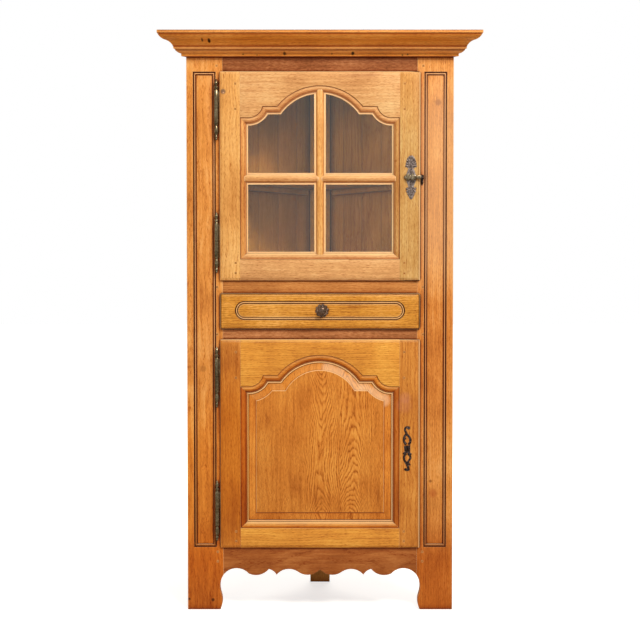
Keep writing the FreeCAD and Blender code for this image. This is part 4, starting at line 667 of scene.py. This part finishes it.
# The front stiles are eased along their outer arrises alone, which lie past this distance from the
# middle of the front.
STILE_SIDE = 463 * MM


def loose_copy(node):
    """A copy of a CAD node, with its loose triangles merged."""
    take(NODES[node])
    bpy.ops.object.duplicate()
    piece = bpy.context.active_object
    for key in list(piece.keys()):
        del piece[key]
    bpy.ops.object.parent_clear(type="CLEAR_KEEP_TRANSFORM")
    bpy.ops.object.mode_set(mode="EDIT")
    bpy.ops.mesh.customdata_custom_splitnormals_clear()
    bpy.ops.mesh.select_all(action="SELECT")
    bpy.ops.mesh.remove_doubles(threshold=0.01 * MM)
    bpy.ops.mesh.dissolve_limited(angle_limit=math.radians(0.3))
    bpy.ops.object.mode_set(mode="OBJECT")
    return piece


def outer_arris(low, high):
    """A test for the corners on the outer arris of a front that fills this box, and on its four corner
    edges."""
    near = 0.2 * MM

    def chosen(corner):
        at_side = corner.x < low.x + near or corner.x > high.x - near
        at_end = corner.z < low.z + near or corner.z > high.z - near
        return (at_side and at_end) or (corner.y < low.y + near and (at_side or at_end))
    return chosen


def front_box(node):
    """The box of the door or of the drawer front that an oak piece belongs to, or nothing."""
    if node == "drawer_front":
        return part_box(node)
    for door in ("upper_door_", "lower_door_"):
        if node.startswith(door) and node.endswith(("_stile", "_rail")):
            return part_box(door + "hinge_stile")[0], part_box(door + "lock_stile")[1]
    return None


def eased_copy(node):
    """A copy of an oak piece whose edges are softened, as a plane and years of wax leave them."""
    piece = loose_copy(node)
    front = front_box(node)
    if front:
        bevel_where(piece, outer_arris(*front), ROUND_OVER, 4)
    if node.endswith("front_stile"):
        bevel_where(piece, lambda corner: abs(corner.x) > STILE_SIDE, 2 * EASE_WIDTH, 3)
    else:
        ease(piece, EASE_WIDTH, EASE_ANGLE)
    smooth(piece, 38)
    return settle(piece, node + "_eased", node, material_of(node), (node,))


def oak_pieces():
    for node in sorted(NODES):
        if SLOT_OF[node].startswith("oak_"):
            eased_copy(node)


# Lathe work

def turned(outline, foot, towards="up", steps=40):
    """A piece turned on a lathe, from (radius, height) in millimetres over its foot. Its axis stands
    upright, or lies towards the front or the back."""
    bpy.ops.object.select_all(action="DESELECT")
    bpy.ops.mesh.primitive_plane_add(size=MM, location=(0, 0, 0))
    piece = bpy.context.active_object
    bpy.ops.object.mode_set(mode="EDIT")
    bpy.ops.mesh.select_mode(type="VERT")
    bpy.ops.mesh.select_all(action="SELECT")
    bpy.ops.mesh.merge(type="CENTER")
    bpy.ops.transform.translate(value=(outline[0][0] * MM, 0, outline[0][1] * MM))
    for before, after in zip(outline, outline[1:]):
        step = ((after[0] - before[0]) * MM, 0, (after[1] - before[1]) * MM)
        bpy.ops.mesh.extrude_vertices_move(TRANSFORM_OT_translate={"value": step})
    bpy.ops.mesh.select_all(action="SELECT")
    bpy.ops.mesh.spin(steps=steps, angle=FULL_TURN, center=(0, 0, 0), axis=(0, 0, 1))
    bpy.ops.object.mode_set(mode="OBJECT")
    piece.rotation_euler = (math.radians({"up": 0, "front": 90, "back": -90}[towards]), 0, 0)
    piece.location = foot
    return close_up(laid_down(piece))


# Hinges

BARREL = 7.8
PIN = 4.0
BORE = 4.06
DOOR_HALF_OUTLINE = [
    (0, 50.5), (BORE, 50.5), (BORE, 0.4), (7.2, 0.4), (BARREL, 1.0), (BARREL, 30), (BARREL, 62.0),
    (7.2, 63.2), (5.6, 64.0), (5.2, 65.2), (5.8, 66.6), (7.0, 68.2), (7.7, 70.6), (7.7, 72.6), (7.0, 74.8),
    (5.4, 76.0), (4.4, 77.4), (4.7, 79.4), (6.0, 81.8), (6.8, 84.6), (6.8, 87.2), (6.0, 90.4), (4.6, 93.8),
    (3.2, 96.8), (2.0, 99.4), (1.1, 101.3), (0, 102)]
FRAME_HALF_OUTLINE = [
    (0, 50), (3.2, 50), (PIN, 49.0), (PIN, 0), (7.2, 0), (BARREL, -0.6), (BARREL, -30), (BARREL, -55.6),
    (7.3, -57.0), (5.3, -58.6), (4.9, -60.2), (5.3, -62.0), (6.4, -65.4), (7.3, -70.4), (7.7, -76.4),
    (7.5, -82.0), (6.6, -87.2), (5.0, -91.0), (4.0, -93.0), (4.6, -94.6), (5.6, -97.0), (5.5, -99.4),
    (4.2, -101.8), (3.5, -103.2), (4.2, -105.4), (3.9, -107.6), (2.4, -109.3), (0, -110)]
BLADE_THICKNESS = 2.4 * MM
BLADE_EASE = 0.5 * MM
DOOR_BLADE_HEIGHTS = (6.4 * MM, 59 * MM)
FRAME_BLADE_HEIGHTS = (-53 * MM, -6 * MM)
DOOR_BLADE_BACK = 7.5 * MM
# The blade of a bored barrel starts in its wall, clear of the bore.
BLADE_ROOT = (BORE + 0.4) * MM
HINGE_JOINTS = {"upper_door": "upper_door_hinges", "lower_door": "lower_door_hinges"}


def hinge_half(node, outline, foot, blade_low, blade_high):
    blade = ease(block(blade_low, blade_high), BLADE_EASE)
    piece = combine(turned(outline, foot), blade, "UNION")
    smooth(piece, 32)
    return settle(piece, node + "_turned", node, HINGE_IRON, (node,))


def hinges():
    """Each hinge is a pin and its barrel on the frame, and a bored barrel on the door."""
    axes = {joint["name"]: joint["pos_m"] for joint in frame["record"]["behaviour"]["joints"]
            if joint["name"] in HINGE_JOINTS.values()}
    for door, joint_name in HINGE_JOINTS.items():
        axis_x, axis_y, height = axes[joint_name]
        for end in ("top", "bottom"):
            frame_node = f"{door}_{end}_hinge_frame_half"
            door_node = f"{door}_{end}_hinge_door_half"
            low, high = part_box(frame_node)
            foot_z = low.z - FRAME_HALF_OUTLINE[-1][1] * MM
            foot = (axis_x, axis_y, foot_z)
            hinge_half(frame_node, FRAME_HALF_OUTLINE, foot,
                       (axis_x - BLADE_THICKNESS / 2, axis_y, foot_z + FRAME_BLADE_HEIGHTS[0]),
                       (axis_x + BLADE_THICKNESS / 2, high.y, foot_z + FRAME_BLADE_HEIGHTS[1]))
            back = axis_y + DOOR_BLADE_BACK
            hinge_half(door_node, DOOR_HALF_OUTLINE, foot,
                       (axis_x + BLADE_ROOT, back - BLADE_THICKNESS, foot_z + DOOR_BLADE_HEIGHTS[0]),
                       (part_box(door_node)[1].x, back, foot_z + DOOR_BLADE_HEIGHTS[1]))


# Cast plates

PLATE_VOXEL = 0.5 * MM
# Casting in one takes this much off each side of a ridge, in millimetres.
SWELL = 1.0
# A casting is cut flat by a block this deep, in metres, twice as wide, and three times as high.
WASTE = 1


def ridge(points, height, place):
    """A ridge on a flat face, from (x, z, half width) in millimetres, as high as it says."""
    curve = bpy.data.curves.new("ridge", "CURVE")
    curve.dimensions = "3D"
    curve.bevel_depth = MM
    curve.bevel_resolution = 3
    curve.resolution_u = 6
    curve.use_fill_caps = True
    spline = curve.splines.new("NURBS")
    spline.points.add(len(points) - 1)
    for point, (x, z, half_width) in zip(spline.points, points):
        point.co = (x * MM, 0, z * MM, 1)
        point.radius = half_width + SWELL
    spline.order_u = min(3, len(points))
    spline.use_endpoint_u = True
    piece = bpy.data.objects.new("ridge", curve)
    bpy.context.collection.objects.link(piece)
    take(piece)
    bpy.ops.object.convert(target="MESH")
    piece = bpy.context.active_object
    piece.scale.y = height / (SWELL + max(half_width for x, z, half_width in points))
    piece.location = place
    return close_up(laid_down(piece))


def boss(x, z, radius, height, place):
    """A round boss on a flat face."""
    bpy.ops.object.select_all(action="DESELECT")
    bpy.ops.mesh.primitive_uv_sphere_add(
        segments=24, ring_count=12, radius=radius * MM,
        location=(place[0] + x * MM, place[1], place[2] + z * MM), scale=(1, height / radius, 1))
    return laid_down(bpy.context.active_object)


def cast_in_one(pieces, back):
    """Runs ridges and bosses into one casting with a flat back."""
    take(*pieces)
    bpy.ops.object.join()
    piece = pieces[0]
    work(piece, "REMESH", mode="VOXEL", voxel_size=PLATE_VOXEL, use_smooth_shade=True)
    work(piece, "SMOOTH", factor=0.5, iterations=2)
    wall = block((-WASTE, back, 0), (WASTE, back + WASTE, 3 * WASTE))
    combine(piece, wall, "DIFFERENCE")
    return smooth(piece, 60)


# The leaf plate of the slide bolt, about its own middle: its middle rib, the webs under its leaves, and
# the tips that the veins of its upper and its lower leaf fan out to.
LEAF_RIBS = [((0, 75, 2.2), (0, 45, 2.2), (0, 16, 2.8)), ((0, -16, 2.8), (0, -45, 2.2), (0, -76, 1.0))]
LEAF_WEBS = [((0, 75, 5), (0, 69, 11), (0, 59, 15.5), (0, 47, 17), (0, 37, 19), (0, 31, 10)),
             ((0, 30, 9.5), (0, 20, 12), (0, 6, 17)),
             ((0, -8, 17), (0, -22, 12), (0, -33, 9)),
             ((0, -34, 13), (0, -46, 15), (0, -60, 11), (0, -74, 4))]
UPPER_TIPS = [(-5, 73.5), (5.5, 73), (-11.5, 67), (12, 66.5), (-16, 58.5), (16.5, 58), (-18.5, 49),
              (19, 48.5), (-20, 38.5), (20.5, 38)]
LOWER_TIPS = [(-18.5, -40), (19, -39), (-16.5, -51), (17, -50), (-11, -62), (11, -62)]
UPPER_ROOT = (0, 42)
LOWER_ROOT = (0, -33)
# Along a vein: the share of the way across, the share of the way along, and half the width there.
VEIN_SHARES = [(0, 0, 1.0), (0.45, 0.55, 1.6), (0.84, 0.90, 2.5), (0.97, 0.97, 2.0)]
RIB_HEIGHT = 3.2
WEB_HEIGHT = 1.4
VEIN_HEIGHT = 3.3


def vein(root, tip, place):
    """A vein of a leaf, which swells and curls over at its tip."""
    across = tip[0] - root[0]
    along = tip[1] - root[1]
    points = [(root[0] + share_x * across, root[1] + share_z * along, half_width)
              for share_x, share_z, half_width in VEIN_SHARES]
    return ridge(points, VEIN_HEIGHT, place)


def leaf_plate():
    """The cast plate of the slide bolt. Gives back its middle, on the face of the door."""
    low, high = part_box("bolt_plate")
    middle = ((low.x + high.x) / 2, high.y, (low.z + high.z) / 2)
    pieces = [ridge(points, RIB_HEIGHT, middle) for points in LEAF_RIBS]
    pieces += [ridge(points, WEB_HEIGHT, middle) for points in LEAF_WEBS]
    pieces += [vein(UPPER_ROOT, tip, middle) for tip in UPPER_TIPS]
    pieces += [vein(LOWER_ROOT, tip, middle) for tip in LOWER_TIPS]
    plate = cast_in_one(pieces, high.y)
    settle(plate, "leaf_plate", "bolt_plate", PLATE_BRONZE, ("bolt_plate",))
    return middle


STRAP_WALL = 2.2 * MM


def strap(x_low, x_high, front, back, middle_z, inner, outer):
    """A strap bent over a bolt, with its edges rounded."""
    piece = block((x_low, front, middle_z - outer), (x_high, back, middle_z + outer))
    hollow = block((x_low - MM, front + STRAP_WALL, middle_z - inner),
                   (x_high + MM, back + MM, middle_z + inner))
    combine(piece, hollow, "DIFFERENCE")
    ease(piece, EASE_WIDTH, segments=3)
    return smooth(piece, 40)


STAPLE_PLACES = (302.8 * MM, 319.0 * MM)
STAPLE_WIDTH = 10 * MM
STAPLE_INNER = 5.6 * MM
STAPLE_OUTER = 11.0 * MM


def staples(middle):
    """The two staples that the slide bolt runs through, each over the plate."""
    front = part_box("bolt_plate")[0].y
    for number, place in enumerate(STAPLE_PLACES, 1):
        piece = strap(place - STAPLE_WIDTH / 2, place + STAPLE_WIDTH / 2, front, middle[1] - MM, middle[2],
                      STAPLE_INNER, STAPLE_OUTER)
        settle(piece, f"bolt_staple_{number}", "bolt_plate", HANDLED_BRONZE)


BOLT_FRONT = -192.4 * MM
BOLT_END_ROUND = 3.2 * MM
BOLT_BALL_X = 334.1 * MM
BOLT_BALL = [(0, 0), (3.6, 0), (3.6, 0.5), (2.9, 1.3), (2.7, 2.2), (3.3, 3.2), (4.6, 4.3), (5.3, 5.8),
             (5.5, 7.2), (5.1, 8.8), (4.0, 10.0), (2.2, 10.8), (0, 11)]


def sliding_bolt():
    """The flat bar with a rounded end, and the ball that slides it."""
    low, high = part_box("slide_bolt")
    bar = block((low.x, BOLT_FRONT, low.z), high)
    bevel_where(bar, lambda corner: corner.x < low.x + MM and corner.y < BOLT_FRONT + MM,
                BOLT_END_ROUND, 6)
    ease(bar, 0.7 * MM)
    ball = turned(BOLT_BALL, (BOLT_BALL_X, BOLT_FRONT + 0.2 * MM, (low.z + high.z) / 2), "front", steps=32)
    piece = combine(bar, ball, "UNION")
    smooth(piece, 40)
    settle(piece, "sliding_bolt", "slide_bolt", HANDLED_BRONZE, ("slide_bolt",))


KEEPER_INNER = 5.8 * MM
KEEPER_OUTER = 8.0 * MM
KEEPER_DROP_HEIGHT = 2.2
KEEPER_DROP = [(0, -6.5, 3.6), (0, -10, 2.6), (0, -14, 4.2), (0, -20, 2.8), (0, -27.6, 0.4)]


def keeper():
    """The loop that takes the bolt, over a drop that ends in a point."""
    low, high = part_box("bolt_keeper")
    middle_z = high.z - KEEPER_OUTER
    loop = strap(low.x, high.x, low.y, high.y, middle_z, KEEPER_INNER, KEEPER_OUTER)
    drop = ridge(KEEPER_DROP, KEEPER_DROP_HEIGHT, ((low.x + high.x) / 2, high.y, middle_z))
    wall = block((low.x - MM, high.y, low.z - MM), (high.x + MM, high.y + KEEPER_OUTER, high.z + MM))
    combine(drop, wall, "DIFFERENCE")
    combine(loop, drop, "UNION")
    smooth(loop, 40)
    settle(loop, "bolt_keeper_loop", "bolt_keeper", DARK_BRONZE, ("bolt_keeper",))


# The openwork plate of the lower door's keyhole: (x, z, half width) along each scroll, and its balls.
SCROLLS = [
    [(-5, 54, 2.6), (-9.5, 62, 2.6), (-9.5, 69, 2.4), (-4.5, 74, 2.4), (2.5, 73, 2.8)],
    [(-5, 56, 3.0), (-4, 46, 3.5)],
    [(-5, 50, 3.0), (-12, 40, 2.6), (-14, 30, 2.8), (-11, 20, 3.2), (-5, 13, 4.0)],
    [(-4, 50, 3.0), (4, 42, 3.0), (10, 32, 3.2), (10, 22, 3.2), (4, 13, 4.0)],
    [(-13, 34.5, 2.0), (-9, 34.5, 2.2), (-5.5, 32.5, 2.4)],
    [(-2, 9, 10.5), (-1, 0, 10.5), (-1, -8, 9.5), (-1, -17, 8.0)],
    [(-4, -14, 3.2), (-13.5, -18, 3.0)], [(3, -16, 3.2), (11, -20.5, 3.0)],
    [(-6, -18, 3.6), (-12, -27, 2.8), (-13, -36, 2.8), (-9, -46, 2.8), (-3, -54, 3.0), (1, -62, 3.0),
     (3, -70, 3.2), (4, -76, 3.2)],
    [(2, -18, 3.6), (9, -26, 2.8), (11, -33, 2.8), (7, -40, 2.6), (2, -46, 2.6), (-3, -53, 3.0)],
    [(1, -50, 2.6), (6, -55, 3.2), (9.5, -59.5, 1.2)],
    [(4, -74, 3.4), (-1, -77, 3.0), (-6.5, -75, 3.0)]]
SCROLL_BALLS = [(3.8, 71, 5.6), (-6.6, -74, 4.8), (-13.5, -18, 3.5), (11, -20.5, 3.6)]
SCROLL_HEIGHT = 2.4
SCROLL_WEIGHT = 0.2
BALL_HEIGHT = 3.2
KEYHOLE_PLACE = (305 * MM, 568.5 * MM)
KEYHOLE_RADIUS = 3.5
KEYHOLE_SLOT = 1.5 * MM
KEYHOLE_DROP = 12 * MM
# The tool that cuts the keyhole reaches this far behind the plate's back and before it.
KEYHOLE_CUT = 10


def scroll_plate():
    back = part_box("keyhole_plate")[1].y
    hole_x, hole_z = KEYHOLE_PLACE
    place = (hole_x, back, hole_z)
    scrolls = [[(x, z, half_width + SCROLL_WEIGHT) for x, z, half_width in points] for points in SCROLLS]
    pieces = [ridge(points, SCROLL_HEIGHT, place) for points in scrolls]
    pieces += [boss(ball_x, ball_z, radius, BALL_HEIGHT, place) for ball_x, ball_z, radius in SCROLL_BALLS]
    plate = cast_in_one(pieces, back)
    hole = turned([(0, 0), (KEYHOLE_RADIUS, 0), (KEYHOLE_RADIUS, 2 * KEYHOLE_CUT), (0, 2 * KEYHOLE_CUT)],
                  (hole_x, back + KEYHOLE_CUT * MM, hole_z), "front", steps=32)
    slot = block((hole_x - KEYHOLE_SLOT, back - 0.9 * KEYHOLE_CUT * MM, hole_z - KEYHOLE_DROP),
                 (hole_x + KEYHOLE_SLOT, back + 0.9 * KEYHOLE_CUT * MM, hole_z))
    combine(hole, slot, "UNION")
    combine(plate, hole, "DIFFERENCE")
    smooth(plate, 60)
    settle(plate, "scroll_plate", "keyhole_plate", DARK_BRONZE, ("keyhole_plate",))


# Drawer knob and its rosette

PETALS = 10
PETAL_OUT = 17.6
PETAL_HALF_LENGTH = 6.4
PETAL_HALF_WIDTH = 5.9
PETAL_HEIGHT = 3.6
CUP_SHARE = 0.72
CUP_DEPTH = 2.2
CUP_OUT = PETAL_OUT + 0.4
CUP_RISE = PETAL_HEIGHT + 0.6
# The ring of petals is turned by this share of a petal.
PETAL_TURN = 0.25
KNOB_OUTLINE = [(0, -2), (8.5, -2), (9.5, 0), (9.0, 1.0), (7.4, 2.0), (6.9, 3.6), (7.3, 5.2), (9.2, 7.4),
                (12.0, 9.6), (14.2, 12.2), (15.0, 15.0), (14.4, 18.0), (12.2, 20.8), (8.6, 22.9),
                (4.4, 23.8), (0, 24)]
SHANK_OUTLINE = [(0, 0), (2.6, 0), (3.0, 0.6), (3.0, 16), (0, 16)]
KNOB_FOOT = 2.5 * MM
ROSETTE_BOSS = (16, 3.0)


def petal_ring(half_length, half_width, half_height, out, place):
    """Petals round one middle."""
    petals = []
    for number in range(PETALS):
        turn = FULL_TURN * (number + PETAL_TURN) / PETALS
        bpy.ops.object.select_all(action="DESELECT")
        bpy.ops.mesh.primitive_uv_sphere_add(segments=24, ring_count=12, radius=MM, location=(0, 0, 0))
        petal = bpy.context.active_object
        petal.scale = (half_length, half_height, half_width)
        petal.rotation_euler = (0, -turn, 0)
        petal.location = (place[0] + out * MM * math.cos(turn), place[1],
                          place[2] + out * MM * math.sin(turn))
        petals.append(laid_down(petal))
    take(*petals)
    bpy.ops.object.join()
    return petals[0]


def rosette_and_knob():
    low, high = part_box("knob_rosette")
    middle = ((low.x + high.x) / 2, high.y, (low.z + high.z) / 2)
    petals = petal_ring(PETAL_HALF_LENGTH, PETAL_HALF_WIDTH, PETAL_HEIGHT, PETAL_OUT, middle)
    rosette = cast_in_one([petals, boss(0, 0, *ROSETTE_BOSS, middle)], high.y)
    cups = petal_ring(CUP_SHARE * PETAL_HALF_LENGTH, CUP_SHARE * PETAL_HALF_WIDTH, CUP_DEPTH, CUP_OUT,
                      (middle[0], middle[1] - CUP_RISE * MM, middle[2]))
    combine(rosette, cups, "DIFFERENCE")
    smooth(rosette, 50)
    settle(rosette, "petal_rosette", "knob_rosette", KNOB_BRONZE, ("knob_rosette",))

    knob = turned(KNOB_OUTLINE, (middle[0], middle[1] - KNOB_FOOT, middle[2]), "front", steps=48)
    shank = turned(SHANK_OUTLINE, (middle[0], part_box("drawer_knob")[1].y, middle[2]), "front", steps=24)
    combine(knob, shank, "UNION")
    smooth(knob, 50)
    settle(knob, "turned_knob", "drawer_knob", KNOB_BRONZE, ("drawer_knob",))


# Lock of the lower door

SCREW_INSET = 9 * MM
SCREW_SLOT = 0.8 * MM
SCREW_SLOT_FOOT = 0.4 * MM
# The tool that cuts a slot reaches past the head of its screw by about this much.
SCREW_SLOT_REACH = 4 * MM
SCREW_OUTLINE = [(0, -0.5), (3.2, -0.5), (3.2, 0.15), (2.7, 0.55), (1.6, 0.8), (0, 0.9)]


def lock():
    """The lock case with its four slotted screws, and the bolt with its end eased."""
    for node in ("lock_case", "lock_bolt"):
        piece = ease(loose_copy(node), EASE_WIDTH)
        smooth(piece, 34)
        settle(piece, node + "_eased", node, LOCK_STEEL, (node,))
    low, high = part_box("lock_case")
    places = [(x, z) for x in (low.x + SCREW_INSET, high.x - SCREW_INSET)
              for z in (low.z + SCREW_INSET, high.z - SCREW_INSET)]
    for number, (x, z) in enumerate(places, 1):
        screw = turned(SCREW_OUTLINE, (x, high.y, z), "back", steps=24)
        slot = block((x - SCREW_SLOT_REACH, high.y + SCREW_SLOT_FOOT, z - SCREW_SLOT / 2),
                     (x + SCREW_SLOT_REACH, high.y + SCREW_SLOT_REACH / 2, z + SCREW_SLOT / 2))
        combine(screw, slot, "DIFFERENCE")
        smooth(screw, 30)
        settle(screw, f"lock_screw_{number}", "lock_case", LOCK_STEEL)


# Stage, camera and light

# To the camera, the floor starts to whiten at the first of these distances from the middle of the
# cabinet and is white past the second. Under the cabinet it glows this much.
WHITE_FROM = 0.5
WHITE_PAST = 2.0
GLOW_BELOW = 0.66
ROOM_GLOW = 0.24


def floor():
    """A pale floor. To the camera it turns white away from the cabinet, and keeps its shadow."""
    bpy.ops.object.select_all(action="DESELECT")
    bpy.ops.mesh.primitive_plane_add(size=60, location=(0, 0, 0))
    piece = laid_down(bpy.context.active_object)
    piece.name = "floor"
    material, tree, shader = new_material("pale_floor")
    feed(tree, shader, {"Base Color": linear("#DEDCD8"), "Roughness": 0.9, "Specular IOR Level": 0.1})
    place = add(tree, "TexCoord", {}, output="Object")
    away = add(tree, "VectorMath", {0: place}, output="Value", operation="LENGTH")
    glow = add(tree, "MapRange", {"Value": away, "From Min": WHITE_FROM, "From Max": WHITE_PAST,
                                  "To Min": GLOW_BELOW, "To Max": 1.0})
    seen = add(tree, "LightPath", {}, output="Is Camera Ray")
    glow = add(tree, "Math", {0: glow, 1: seen}, operation="MULTIPLY")
    white = add(tree, "Emission", {"Color": linear("#FFFFFF"), "Strength": glow})
    both = add(tree, "AddShader", {0: shader.outputs[0], 1: white})
    feed(tree, tree.nodes["Material Output"], {"Surface": both})
    piece.data.materials.append(material)


def soft_room():
    """Plain soft light from all sides, in front of a white background."""
    world = bpy.data.worlds.new("soft_room")
    bpy.context.scene.world = world
    world.use_nodes = True
    tree = world.node_tree
    tree.nodes.clear()
    paths = add(tree, "LightPath", {}).node.outputs
    white = add(tree, "Math", {0: paths["Is Camera Ray"], 1: paths["Is Glossy Ray"]}, operation="MAXIMUM")
    white = add(tree, "Math", {0: white, 1: paths["Is Transmission Ray"]}, operation="MAXIMUM")
    strength = add(tree, "MapRange", {"Value": white, "To Min": ROOM_GLOW, "To Max": 1.0})
    light = add(tree, "Background", {"Color": linear("#FFFFFF"), "Strength": strength})
    feed(tree, tree.nodes.new("ShaderNodeOutputWorld"), {"Surface": light})


def lamp(name, place, target, size, power, colour, mirrored=True):
    bpy.ops.object.light_add(type="AREA", location=place)
    light = bpy.context.active_object
    light.name = name
    light.rotation_euler = (Vector(target) - Vector(place)).to_track_quat("-Z", "Y").to_euler()
    light.data.shape = "DISK"
    light.data.size = size
    light.data.energy = power
    light.data.color = linear(colour)[:3]
    light.visible_glossy = mirrored


CAMERA_PLACE = (0, -4.1725, 1.1308)
CAMERA_TILT = 1.6554
LENS = 64.644


def camera():
    bpy.ops.object.camera_add(location=CAMERA_PLACE, rotation=(math.radians(90 - CAMERA_TILT), 0, 0))
    view = bpy.context.active_object
    view.data.sensor_width = 36
    view.data.lens = LENS
    bpy.context.scene.camera = view
    bpy.context.scene.view_settings.view_transform = "Standard"


camera()
finish_nodes()
oak_pieces()
hinges()
staples(leaf_plate())
sliding_bolt()
keeper()
scroll_plate()
rosette_and_knob()
lock()
floor()
soft_room()
lamp("high_window", (1.7, -3.7, 4.6), (0, 0, 1.0), 1.6, 230, "#FFFAF2")
# This one would stand in the panes like a white sheet, so nothing mirrors it.
lamp("room_light", (-2.1, -4.6, 1.4), (0, 0, 0.9), 2.0, 58, "#FFF6EA", mirrored=False)
lamp("back_light", (0.3, 3.6, 2.6), (0, 0.2, 1.0), 2.5, 80, "#FFFAF2")
